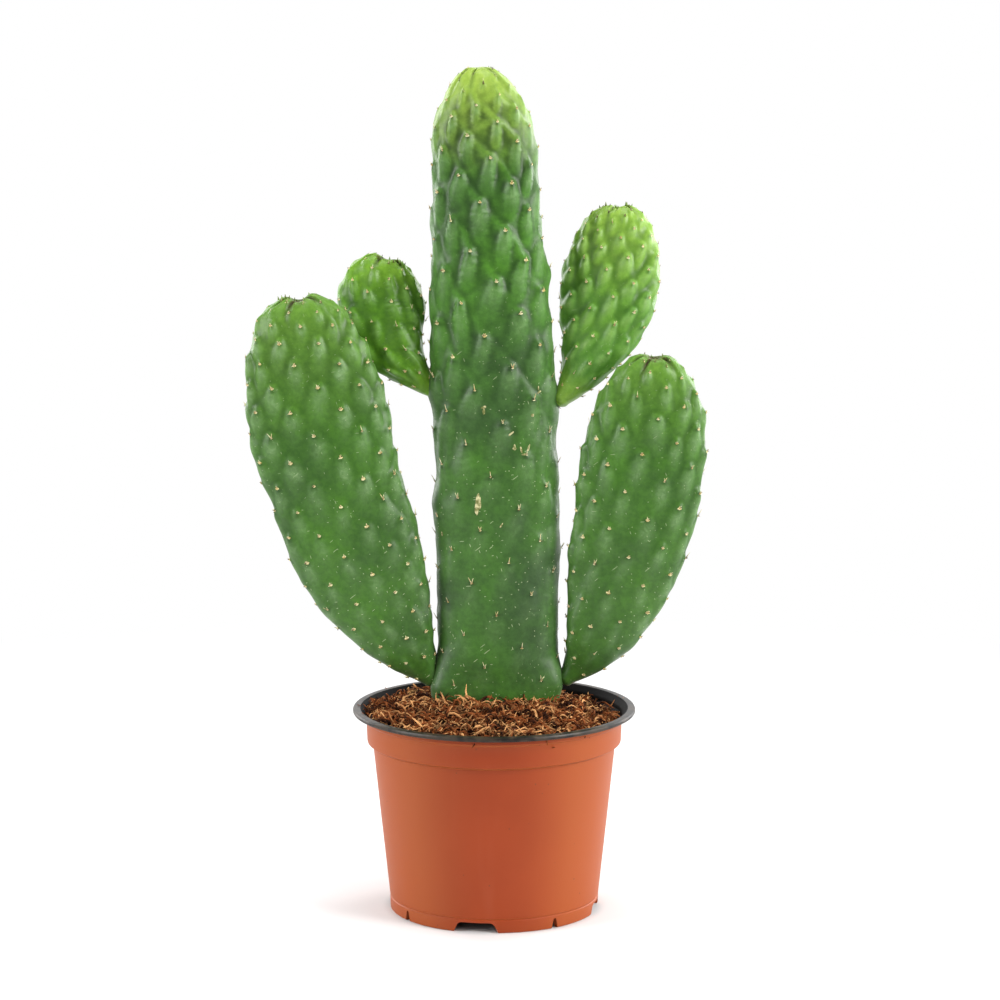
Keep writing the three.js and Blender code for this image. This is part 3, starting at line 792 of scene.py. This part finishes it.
# two colours, roughness, scales of grain and clouds, depth of the grain in metres, and gloss
smallFinishes = {
    "areoleWool": ((242, 236, 184), (200, 176, 104), 0.9, 3000.0, 700.0, 0.0001, 0.5),
    "spineIvory": ((240, 232, 188), (214, 188, 130), 0.5, 2000.0, 350.0, 0.00005, 0.5),
    "budGreen": ((126, 158, 62), (92, 84, 38), 0.5, 2000.0, 300.0, 0.00005, 0.5),
    "bristleBrown": ((96, 56, 30), (58, 34, 20), 0.6, 2000.0, 350.0, 0.00005, 0.5),
    "cork": ((216, 208, 160), (120, 124, 72), 0.85, 2500.0, 420.0, 0.0002, 0.2),
    "blackPlastic": ((20, 17, 14), (60, 50, 40), 0.4, 1200.0, 160.0, 0.0001, 0.35),
    # a darker black for the pot's inner wall, which paints the shade inside the pot
    "blackInsidePaintedShade": ((8, 7, 7), (14, 11, 9), 0.6, 1200.0, 40.0, 0.0001, 0.05),
}


def makePlain(name, first, second, roughness, grainScale, cloudScale, depth, gloss):
    material, tree = newMaterial(name)
    grain = placeGrain(tree, grainScale, cloudScale)
    cloud = rangeNode(grain["Cloud"], 0.36, 0.64)
    return finishMaterial(material, grain["Grain"], 0.4, depth, {
        "Base Color": mixColour(cloud, srgb(*first), srgb(*second)), "Specular IOR Level": gloss,
        "Roughness": times(grain["Grain"], 0.2, roughness - 0.1)})


plain = {name: makePlain(name, *finish) for name, finish in smallFinishes.items()}


# a woolly cushion with a brush of brown bristles and one or two ivory spines, about 2 mm across, z outwards
def makeAreole(kind, size):
    random = np.random.default_rng(40 + kind)
    spineLength, longSpines = areoleLook["spineLengths"][size], size == "long"
    cushion = addPiece(
        bpy.ops.mesh.primitive_ico_sphere_add, subdivisions=2, radius=areoleLook["radius"] * mm)
    points = readPoints(cushion) / mm
    points *= 1 + random.uniform(-0.18, 0.18, len(points))[:, None]
    points *= np.array(areoleLook["cushion"]) * (0.6 if longSpines else 1)
    writePoints(cushion, points, (0, 0, 0))
    cushion.data.materials.append(plain["areoleWool"])
    parts = [cushion]
    spread = random.uniform(0.18, 0.42)
    rods = []
    for side in areoleLook["spineSides"][kind % 6]:
        rods.append((spineLength * random.uniform(0.7, 1.2), areoleLook["spineRadius"],
                     math.pi / 2 + side * spread, random.uniform(1.0, 1.3), "spineIvory"))
    for _ in range(areoleLook["bristles"][size]):
        rods.append((areoleLook["bristleLength"] * random.uniform(0.7, 1.3), areoleLook["bristleRadius"],
                     math.pi / 2 + random.normal(0, 1.2), random.uniform(0.7, 1.35),
                     "bristleBrown" if longSpines or random.uniform() < 0.45 else "spineIvory"))
    for length, radius, turn, lean, skin in rods:
        way = Vector((math.sin(lean) * math.cos(turn), math.sin(lean) * math.sin(turn), math.cos(lean)))
        parts.append(addPiece(
            bpy.ops.mesh.primitive_cone_add, vertices=4, radius1=radius * mm, radius2=0.25 * radius * mm,
            depth=length * mm, location=way * ((length / 2 + 0.3) * mm),
            rotation=way.to_track_quat("Z", "Y").to_euler()))
        parts[-1].data.materials.append(plain[skin])
    joinAll(parts, "areole")
    bpy.ops.object.transform_apply(location=True, rotation=True, scale=True)
    return cushion


# a young leaf: a short pointed cone just outside an areole near the crown
def makeBud(seat, way, length):
    bud = addPiece(
        bpy.ops.mesh.primitive_cone_add, vertices=8, radius1=0.3 * length * mm, radius2=0.05 * mm,
        depth=length * mm, rotation=way.to_track_quat("Z", "Y").to_euler())
    bpy.ops.object.transform_apply(location=True, rotation=True, scale=True)
    bud.data.transform(moveTo(Vector(seat) + way * (0.2 * length)))
    bud.data.materials.append(plain["budGreen"])
    return bud


areoleKinds = {
    size: [makeAreole(kind, size) for kind in range(areoleLook["kinds"])]
    for size in areoleLook["spineLengths"]
}
for padName, pad in padShapes.items():
    random = np.random.default_rng(7)
    spots = pad["spots"]
    made = []
    for k in range(len(spots["s"])):
        if spots["s"][k] < areoleLook["lowest"]:
            continue
        seat = pad["seat"][k]
        normal = Vector(spots["normal"][k])
        up = Vector(spots["up"][k])
        across = up.cross(normal).normalized()
        top = normal.cross(across)
        size = (0.8 if pad["length"] < 140 else 1.0) * random.uniform(0.8, 1.15)
        size *= max(float(spots["size"][k]) ** 0.8, 0.7)
        low = padName == "trunk_pad" and spots["s"][k] < areoleLook["longBelow"] * pad["length"]
        kinds = areoleKinds["long" if low or random.uniform() < areoleLook["longShare"] else "short"]
        twin = copyMesh(kinds[int(random.integers(areoleLook["kinds"]))], "spot")
        twin.data.transform(moveTo(seat) @ turnTo(across, top, normal) @ Matrix.Scale(size, 4))
        made.append(twin)
        if pad["length"] - spots["s"][k] < pad["buds"]:
            made.append(makeBud(seat, (0.75 * top + 0.35 * normal).normalized(), random.uniform(1.8, 3)))
    for _ in range(areoleLook["crownBuds"]):
        s, angle = pad["length"] - random.uniform(0.5, 4), random.uniform(0, 2 * math.pi)
        seat = skinPoints(pad, np.array([s]), np.array([angle]))[0]
        way = Vector(skinNormals(pad, np.array([s]), np.array([angle]))[0]) * 0.7 + Vector((0, 0, 0.8))
        made.append(makeBud(seat, way.normalized(), random.uniform(1.6, 3.2)))
    areoles = joinAll(made, padName + "_areoles")
    finishPiece(areoles)
    print("areoles:", padName, len(made))
for kind in areoleKinds["long"] + areoleKinds["short"]:
    bpy.data.objects.remove(kind)


# a flat, uneven blister of cork for each wound
def makeScars(pad):
    random = np.random.default_rng(5)
    skin, normals = pad["front"]
    made = []
    for x, z, halfWidth, halfHeight, turn in scars:
        nearest = int(np.argmin(np.hypot(skin[:, 0] - x, skin[:, 2] - z)))
        normal = Vector(normals[nearest])
        blister = addPiece(bpy.ops.mesh.primitive_ico_sphere_add, subdivisions=3, radius=1)
        points = readPoints(blister)
        points *= 1 + 0.16 * unevenField(points, 1.1, int(random.integers(999)), 12)[:, None]
        writePoints(blister, points * (halfWidth, 0.35, halfHeight), (0, 0, 0))
        across = normal.cross(Vector((0, 0, 1))).normalized()
        facing = turnTo(-across, -normal, normal.cross(across))
        blister.data.transform(
            moveTo(skin[nearest]) @ facing @ Matrix.Rotation(math.radians(turn), 4, "Y"))
        made.append(blister)
    wounds = joinAll(made, "trunk_pad_scars")
    wounds.data.materials.append(plain["cork"])
    finishPiece(wounds)


makeScars(padShapes["trunk_pad"])


# pot

potLook = {
    "sides": 144,
    "foot": 63, "floorUnder": 6.3,
    # lower and upper width, and how round the top corners are
    "wideNotch": (29, 21, 2.2), "slitNotch": (5.5, 1.6, 0.7), "notchTop": 6.2, "notchDepth": 14,
    "notchTurn": -100,
    "drainRadius": 5, "drainRing": 40,
    "rimLow": 120.2, "rimInside": 80.3,
    "blackWithin": ((0, 8, 101.5, 103, 116, 118, 120), (58, 62, 72, 75.2, 76, 78, 78)),   # heights, radii
}

# radius and height up the outside, over the rim and down the inside to the floor
potProfile = [
    (59.8, 0.5), (60.2, 0), (62.2, 0), (62.8, 0.4), (63, 1.1), (63.1, 7.4), (62.7, 7.9), (62.7, 8.3),
    (63.2, 8.9), (65.6, 31), (68.1, 54), (70.6, 78), (72.9, 100), (73.1, 101.2), (73.9, 102), (75.6, 102.4),
    (76.3, 103), (76.5, 103.8), (76.7, 109), (76.9, 115.2), (77.3, 116.2), (78.5, 116.9), (79, 117.6),
    (79.1, 119.9), (79.5, 120.4), (84, 120.5), (84.7, 120.8), (85, 121.4), (85, 122.4), (84.6, 123.1),
    (83.9, 123.4), (82, 123.5), (80.6, 123.3), (79.6, 122.7), (78.8, 121.6), (77.6, 120.4), (77.2, 119.6),
    (77.2, 117.4), (76.4, 116.2), (74.8, 114.8), (74.6, 114), (74.6, 103.6), (71.4, 101.4), (66.4, 54),
    (61.4, 8.4), (60.8, 8.1),
]


def extrudeRing(rise, scale):
    bpy.ops.mesh.extrude_region_move(TRANSFORM_OT_translate={"value": (0, 0, rise * mm)})
    if scale != 1:
        bpy.ops.transform.resize(value=(scale, scale, 1), center_override=(0, 0, 0))


# a floor in to the middle from the ring that is selected
def closeFloor():
    extrudeRing(0, 0.02)
    bpy.ops.mesh.edge_face_add()


def makePot():
    low = potProfile[0]
    piece = addPiece(
        bpy.ops.mesh.primitive_circle_add, vertices=potLook["sides"], radius=low[0] * mm,
        location=(0, 0, low[1] * mm))
    piece.name = "pot_shell"
    bpy.ops.object.transform_apply(location=True)
    bpy.ops.object.mode_set(mode="EDIT")
    bpy.ops.mesh.select_all(action="SELECT")
    for (r0, z0), (r1, z1) in zip(potProfile, potProfile[1:]):
        extrudeRing(z1 - z0, r1 / r0)
    # the floor's upper face, and its lower one from inside the foot ring
    closeFloor()
    bpy.ops.mesh.select_all(action="DESELECT")
    mesh = bmesh.from_edit_mesh(piece.data)
    mesh.select_mode = {"VERT"}
    for vert in mesh.verts:
        radius = math.hypot(vert.co.x, vert.co.y) / mm
        vert.select_set(abs(radius - low[0]) < 0.05 and abs(vert.co.z / mm - low[1]) < 0.05)
    mesh.select_flush_mode()
    bmesh.update_edit_mesh(piece.data)
    extrudeRing(potLook["floorUnder"] - low[1], 1)
    closeFloor()
    bpy.ops.mesh.select_all(action="SELECT")
    bpy.ops.mesh.normals_make_consistent(inside=False)
    bpy.ops.object.mode_set(mode="OBJECT")
    return piece


def cutPot(piece):
    cutters = []
    for i in range(8):
        low, high, corner = potLook["slitNotch" if i % 2 else "wideNotch"]
        turn = math.radians(potLook["notchTurn"] + 45 * i)
        block = addPiece(bpy.ops.mesh.primitive_cube_add, size=1)
        points = readPoints(block)
        wide = np.where(points[:, 2] > 0, high, low)
        writePoints(block, np.stack([
            potLook["foot"] - 1 + points[:, 0] * potLook["notchDepth"], points[:, 1] * wide,
            np.where(points[:, 2] > 0, potLook["notchTop"], -2)], -1), (0, 0, 0))
        pick(block)
        bpy.ops.object.mode_set(mode="EDIT")
        selectEdges(block, lambda a, b: min(a.z, b.z) > mm and abs(a.x - b.x) > mm)
        bpy.ops.mesh.bevel(offset=corner * mm, segments=4)
        bpy.ops.object.mode_set(mode="OBJECT")
        block.data.transform(Matrix.Rotation(turn, 4, "Z"))
        cutters.append(block)
        if i % 2:
            ring = potLook["drainRing"]
            cutters.append(addPiece(
                bpy.ops.mesh.primitive_cylinder_add, vertices=28, radius=potLook["drainRadius"] * mm,
                depth=12 * mm,
                location=(ring * math.cos(turn) * mm, ring * math.sin(turn) * mm, 7 * mm)))
    for cutter in cutters:
        pick(piece)
        cut = piece.modifiers.new("cut", "BOOLEAN")
        cut.operation = "DIFFERENCE"
        cut.solver = "EXACT"
        cut.object = cutter
        bpy.ops.object.modifier_apply(modifier=cut.name)
        bpy.data.objects.remove(cutter)


# the side colour is a painted sheen, paler where the wall turns away from the view
potPaint = {
    "dark": (148, 56, 19), "light": (153, 59, 21), "side": (162, 79, 32), "roughness": 0.42,
    "streak": (228, 160, 126), "soil": (96, 58, 36),
}


# terracotta coloured outside, faintly streaked by its mould and dusted with soil, with a painted sheen where
# the wall turns away
def makeTerracotta():
    material, tree = newMaterial("terracottaPlastic")
    dark, light, side, streak, soil = (
        srgb(*potPaint[key]) for key in ("dark", "light", "side", "streak", "soil"))
    grain = placeGrain(tree, 1600.0, 26.0)
    base = mixColour(rangeNode(grain["Cloud"], 0.35, 0.65), dark, light)
    drawn = addNode(tree, "Mapping", {"Vector": objectPlace(tree), "Scale": (60, 60, 5)})[0]
    streaks = rangeNode(noiseNode(drawn, 1.0, 3.0, 0.6), 0.5, 0.8)
    base = mixColour(times(streaks, 0.03), base, streak)
    # a painted sheen for the satin plastic: the colour turns paler where the wall turns away from the view
    facing = addNode(tree, "LayerWeight", {"Blend": 0.5})["Facing"]
    base = mixColour(rangeNode(facing, 0.0, 0.35, 0.0, 0.85), base, side)
    dust = placeSpecks(tree, Scale=260.0, Size=0.14, Share=0.05)
    base = mixColour(times(dust, 0.55), base, soil)
    return finishMaterial(material, grain["Grain"], 0.12, 0.0003, {
        "Base Color": base, "Specular IOR Level": 0.28,
        "Roughness": times(grain["Cloud"], 0.1, potPaint["roughness"])})


potShell = makePot()
cutPot(potShell)
for material in (makeTerracotta(), plain["blackPlastic"], plain["blackInsidePaintedShade"]):
    potShell.data.materials.append(material)
for face in potShell.data.polygons:
    radius = math.hypot(face.center.x, face.center.y) / mm
    height = face.center.z / mm
    # the rim and inner wall are black plastic, and the inner wall's darker black is painted shade
    if height > potLook["rimLow"] or radius < np.interp(height, *potLook["blackWithin"]):
        face.material_index = 2 if radius < potLook["rimInside"] else 1
potShell.data.transform(Matrix.Translation(potAxis))
finishPiece(potShell, node="pot", angle=32)
print("pot:", len(potShell.data.polygons), "faces")


# soil and coir

soilLook = {
    "sides": 180, "rings": 110,
    "floor": (60.8, 8.4),                                         # radius and height
    "gaps": (0.9, 0.6),                                           # to the pot, at the top and the side
    "floorEnd": 0.12, "sideEnd": 0.42,                            # shares of the way from pole to pole
    "edgeLow": 115, "edgeHigh": 122.2, "lowTurn": 50, "crown": 127, "lump": 1.1,
    "boreHeights": (8, 101.5, 103.5, 114.5, 117, 120.5, 121.9),
    "boreRadii": (61.4, 71.2, 74.6, 74.6, 77.2, 77.2, 78.6),
    "fibres": 3800, "fibreKinds": 12, "stoutShare": 0.32,
    "chips": (4, 0.6, 0.085), "threads": (8, 2.2, 0.032),         # steps, bend, radius at length 1
    "chipLengths": (3, 7), "lengths": (8, 13, 20), "lengthOdds": (0.4, 0.38, 0.22),
    "standing": 12,                                               # in front of the trunk's foot
    "crumbs": 14, "shoulder": (79.5, 83.5, 123.8),                # on the pot's rim
    "trunkFoot": (1, 10, 35, 14),                                 # middle and half sizes
}


def boreAt(z):
    return np.interp(z, soilLook["boreHeights"], soilLook["boreRadii"])


def soilHeight(share, angle):
    look = soilLook
    middle = (look["edgeLow"] + look["edgeHigh"]) / 2
    edge = middle - (look["edgeHigh"] - look["edgeLow"]) / 2 * np.cos(angle - math.radians(look["lowTurn"]))
    rise = ease((1 - share) / 0.75)
    lumps = (np.sin(9 * angle + 14 * share) + np.sin(7 * angle - 23 * share + 1)
             + np.sin(31 * share + 3 * angle))
    return edge + (look["crown"] - edge) * rise + look["lump"] * lumps * share / 2


# the blank's lower pole spreads to the floor, its middle to the side, and the rest to the lumpy top
def makeSoil():
    look = soilLook
    piece, share, angle = roundBlank("soil_body", look["sides"], look["rings"])
    edge = soilHeight(1, angle)
    (floorRadius, floor), (topGap, sideGap) = look["floor"], look["gaps"]
    top, side = share > look["sideEnd"], share > look["floorEnd"]
    inward = np.clip((share - look["sideEnd"]) / (1 - look["sideEnd"]), 0, 1)
    rise = np.clip((share - look["floorEnd"]) / (look["sideEnd"] - look["floorEnd"]), 0, 1)
    sideHeight = floor + (edge - floor) * rise
    radius = np.select(
        (top, side), ((1 - inward) * (boreAt(edge) - topGap), boreAt(sideHeight) - sideGap),
        floorRadius * share / look["floorEnd"])
    height = np.select((top, side), (soilHeight(1 - inward, angle), sideHeight), floor)
    points = np.stack([radius * np.cos(angle), radius * np.sin(angle), height], -1)
    lumps = 1.7 * unevenField(points, 13, 2) + 2 * np.abs(unevenField(points, 6, 8)) - 2.3
    points[:, 2] += np.where(top, lumps, 0) * np.clip(inward * 9, 0, 1)
    writePoints(piece, points)
    finishPiece(piece, node="soil")
    return piece


# dark, middle and light brown: the light one by the strand's own shade
def makeCoir(name, *browns):
    material, tree = newMaterial(name)
    dark, middle, light = (srgb(*brown) for brown in browns)
    grain = placeGrain(tree, 900.0, 120.0)
    base = mixColour(rangeNode(grain["Cloud"], 0.38, 0.6), dark, middle)
    base = mixColour(rangeNode(valueNode(tree, "shade"), 0.37, 1.0), base, light)
    return finishMaterial(material, grain["Grain"], 0.7, 0.0008, {
        "Base Color": base, "Specular IOR Level": 0.12,
        "Roughness": times(grain["Grain"], 0.2, 0.78)})


# one bent strand of length 1, lying near z = 0: the first half of the kinds are stout chips
def makeFibre(kind):
    random = np.random.default_rng(70 + kind)
    steps, bending, radius = soilLook["chips" if kind < soilLook["fibreKinds"] / 2 else "threads"]
    strand = addPiece(
        bpy.ops.mesh.primitive_cylinder_add, vertices=3, radius=1, depth=1, end_fill_type="NOTHING")
    bpy.ops.object.mode_set(mode="EDIT")
    selectEdges(strand, lambda a, b: abs(a.z - b.z) > 0.5)
    bpy.ops.mesh.subdivide(number_cuts=steps - 1)
    bpy.ops.object.mode_set(mode="OBJECT")
    points = readPoints(strand)
    t = np.clip(points[:, 2] + 0.5, 0, 1)
    bend = random.uniform(-1.2, 1.2) * bending
    wave, start = random.uniform(3, 8), random.uniform(0, 6)
    line = np.linspace(0, 1, 61)
    turn = bend * line + 0.5 * np.sin(wave * line + start)
    x, y = (np.cumsum(way) / len(line) for way in (np.cos(turn), np.sin(turn)))
    z = 0.12 * np.sin(random.uniform(4, 9) * line + random.uniform(0, 6))
    middle = np.stack([np.interp(t, line, a - a.mean()) for a in (x, y, z)], -1)
    heading = np.interp(t, line, turn)
    side = np.stack([-np.sin(heading), np.cos(heading), np.zeros_like(t)], -1)
    points *= radius * (1 - 0.75 * (2 * t - 1) ** 4)[:, None]
    middle += side * points[:, :1]
    middle[:, 2] += points[:, 1]
    strand.data.vertices.foreach_set("co", middle.ravel())
    return strand


def scatterFibres():
    look = soilLook
    random = np.random.default_rng(11)
    kinds = [makeFibre(kind) for kind in range(look["fibreKinds"])]
    half = look["fibreKinds"] // 2
    footX, footY, footWide, footDeep = look["trunkFoot"]
    made, shades = [], []
    for k in range(look["fibres"]):
        stout = random.uniform() < look["stoutShare"]
        share = math.sqrt(random.uniform(0.02, 1))
        angle = random.uniform(0, 2 * math.pi)
        if stout:
            length = random.uniform(*look["chipLengths"])
        else:
            length = random.choice(look["lengths"], p=look["lengthOdds"])
        length *= random.uniform(0.75, 1.25)
        bore = boreAt(soilHeight(1, angle)) + 0.6
        share = min(share, (bore - 0.3 * length - 0.8) / bore)
        x, y = share * bore * math.cos(angle), share * bore * math.sin(angle)
        slope = random.normal(0, 0.28, 2)
        z = float(soilHeight(share, angle)) + random.uniform(-0.8, 2.4)
        standing = k < look["standing"]
        if standing:
            x, y = random.uniform(-36, 40), random.uniform(-17, -9)
            slope = random.normal(0, 0.25) + math.pi / 2 * random.choice((-1, 1)), random.normal(0, 0.5)
            stout, length = False, random.uniform(8, 17)
            z = look["crown"] + 0.12 * length
        elif k < look["standing"] + look["crumbs"]:
            near, far, z = look["shoulder"]
            out = random.uniform(near, far)
            x, y = out * math.cos(angle), out * math.sin(angle)
            stout, length, slope = True, random.uniform(1.2, 2.6), (0, 0)
        elif abs(x - footX) < footWide and abs(y - footY) < footDeep:
            continue
        heading = random.uniform(0, 2 * math.pi)
        if standing:
            heading = math.pi / 2 + random.normal(0, 0.5)
        turn = Matrix.Rotation(heading, 4, "Z")
        tip = Matrix.Rotation(slope[1], 4, "Y") @ Matrix.Rotation(slope[0], 4, "X")
        twin = copyMesh(kinds[int(random.integers(half)) + (0 if stout else half)], "strand")
        twin.data.transform(moveTo((x, y, z)) @ tip @ turn @ Matrix.Scale(length * mm, 4))
        made.append(twin)
        shade = 0.7 if standing else float(random.beta(0.5, 0.95))
        shades += [shade] * len(twin.data.vertices)
    for kind in kinds:
        bpy.data.objects.remove(kind)
    fibres = joinAll(made, "coir_fibres")
    writeValue(fibres, "shade", shades)
    finishPiece(fibres)
    return fibres


soilBody = makeSoil()
soilBody.data.materials.append(makeCoir("coirSoil", (16, 8, 4), (60, 29, 14), (96, 52, 26)))
fibres = scatterFibres()
fibres.data.materials.append(makeCoir("coirFibre", (42, 18, 8), (142, 79, 40), (236, 176, 116)))
print("soil:", len(soilBody.data.polygons), "faces, fibres:", len(fibres.data.polygons), "faces")


# studio

studio = {
    "cameraPlace": (3.55, -2080, 588),     # mm from the foot of the pot's axis
    "cameraDown": 9.25,
    "lens": 127.08,
    "floor": 0.72,
    "floorGlow": 0.16,
    "footRing": (0.061, 0.069),            # metres, where the glow begins
    "surroundings": 0.14,
    "aim": (0, 0, 0.25),
}

# size and place in metres, power in watts, colour
lights = {
    "keyRight": ((0.7, 1.4), (1.6, -0.95, 0.9), 43, (1, 0.99, 0.97)),
    "fillLeft": ((0.8, 1.6), (-1.7, -0.6, 0.75), 33, (1, 1, 1)),
    "backRight": ((0.9, 1.6), (1.25, 1.15, 0.6), 26, (1, 1, 1)),
    "backLeft": ((0.9, 1.6), (-1.25, 1.15, 0.6), 22, (1, 1, 1)),
    "back": ((2.0, 1.2), (0.0, 1.7, 0.9), 12, (1, 1, 1)),
    "frontLeft": ((1.0, 1.2), (-0.9, -2.0, 0.9), 4, (1, 1, 1)),
    "edgeRight": ((0.5, 1.2), (1.6, 0.1, 0.6), 8, (1, 1, 1)),
    "top": ((0.9, 0.9), (0.1, -0.1, 1.8), 12, (1, 1, 1)),
}


# a pale floor that fades into the white all round
def makeFloor():
    floor = addPiece(bpy.ops.mesh.primitive_plane_add, size=40, location=potAxis)
    floor.name = "floor"
    material, tree = newMaterial("paleFloor")
    shader, output = (tree.nodes[name] for name in ("Principled BSDF", "Material Output"))
    away = addNode(tree, "VectorMath", [objectPlace(tree)], operation="LENGTH")["Value"]
    rays = addNode(tree, "LightPath")["Is Camera Ray"]
    white = times(rays, 0.75, 0.25)
    # the glow stops at the pot's foot, so it stays dark under the pot
    outside = rangeNode(away, *studio["footRing"], 0.0, studio["floorGlow"])
    feed(shader, {
        "Base Color": (studio["floor"],) * 3 + (1,), "Roughness": 0.9, "Specular IOR Level": 0.1,
        "Emission Color": (1, 1, 1, 1), "Emission Strength": times(rays, outside)})
    glow = addNode(tree, "Emission", {"Color": (1, 1, 1, 1), "Strength": white})[0]
    feed(output, addNode(tree, "MixShader", (rangeNode(away, 0.3, 0.9), shader.outputs[0], glow)))
    floor.data.materials.append(material)


def makeStudio():
    scene = bpy.context.scene
    camera = bpy.data.cameras.new("camera")
    camera.lens = studio["lens"]
    camera.sensor_width = 36
    camera.clip_end = 100
    eye = bpy.data.objects.new("camera", camera)
    scene.collection.objects.link(eye)
    eye.location = Vector(studio["cameraPlace"]) * mm + potAxis
    eye.rotation_euler = (math.radians(90 - studio["cameraDown"]), 0, 0)
    scene.camera = eye

    # white where the camera sees it, and only a soft light elsewhere
    scene.world = bpy.data.worlds.new("studioWhite")
    scene.world.use_nodes = True
    tree = scene.world.node_tree
    tree.nodes.clear()
    rays = addNode(tree, "LightPath")["Is Camera Ray"]
    soft, seen = (
        addNode(tree, "Background", ((1, 1, 1, 1), strength))[0]
        for strength in (studio["surroundings"], 1.0))
    addNode(tree, "OutputWorld", addNode(tree, "MixShader", (rays, soft, seen)))

    for name, (size, place, power, colour) in lights.items():
        light = bpy.data.lights.new(name, "AREA")
        light.shape = "RECTANGLE"
        light.size, light.size_y = size
        light.energy = power
        light.color = colour
        lamp = bpy.data.objects.new(name, light)
        scene.collection.objects.link(lamp)
        lamp.location = place
        lamp.rotation_euler = (Vector(studio["aim"]) - Vector(place)).to_track_quat("-Z", "Y").to_euler()
    scene.view_settings.view_transform = "Standard"
    scene.view_settings.look = "None"


makeFloor()
makeStudio()
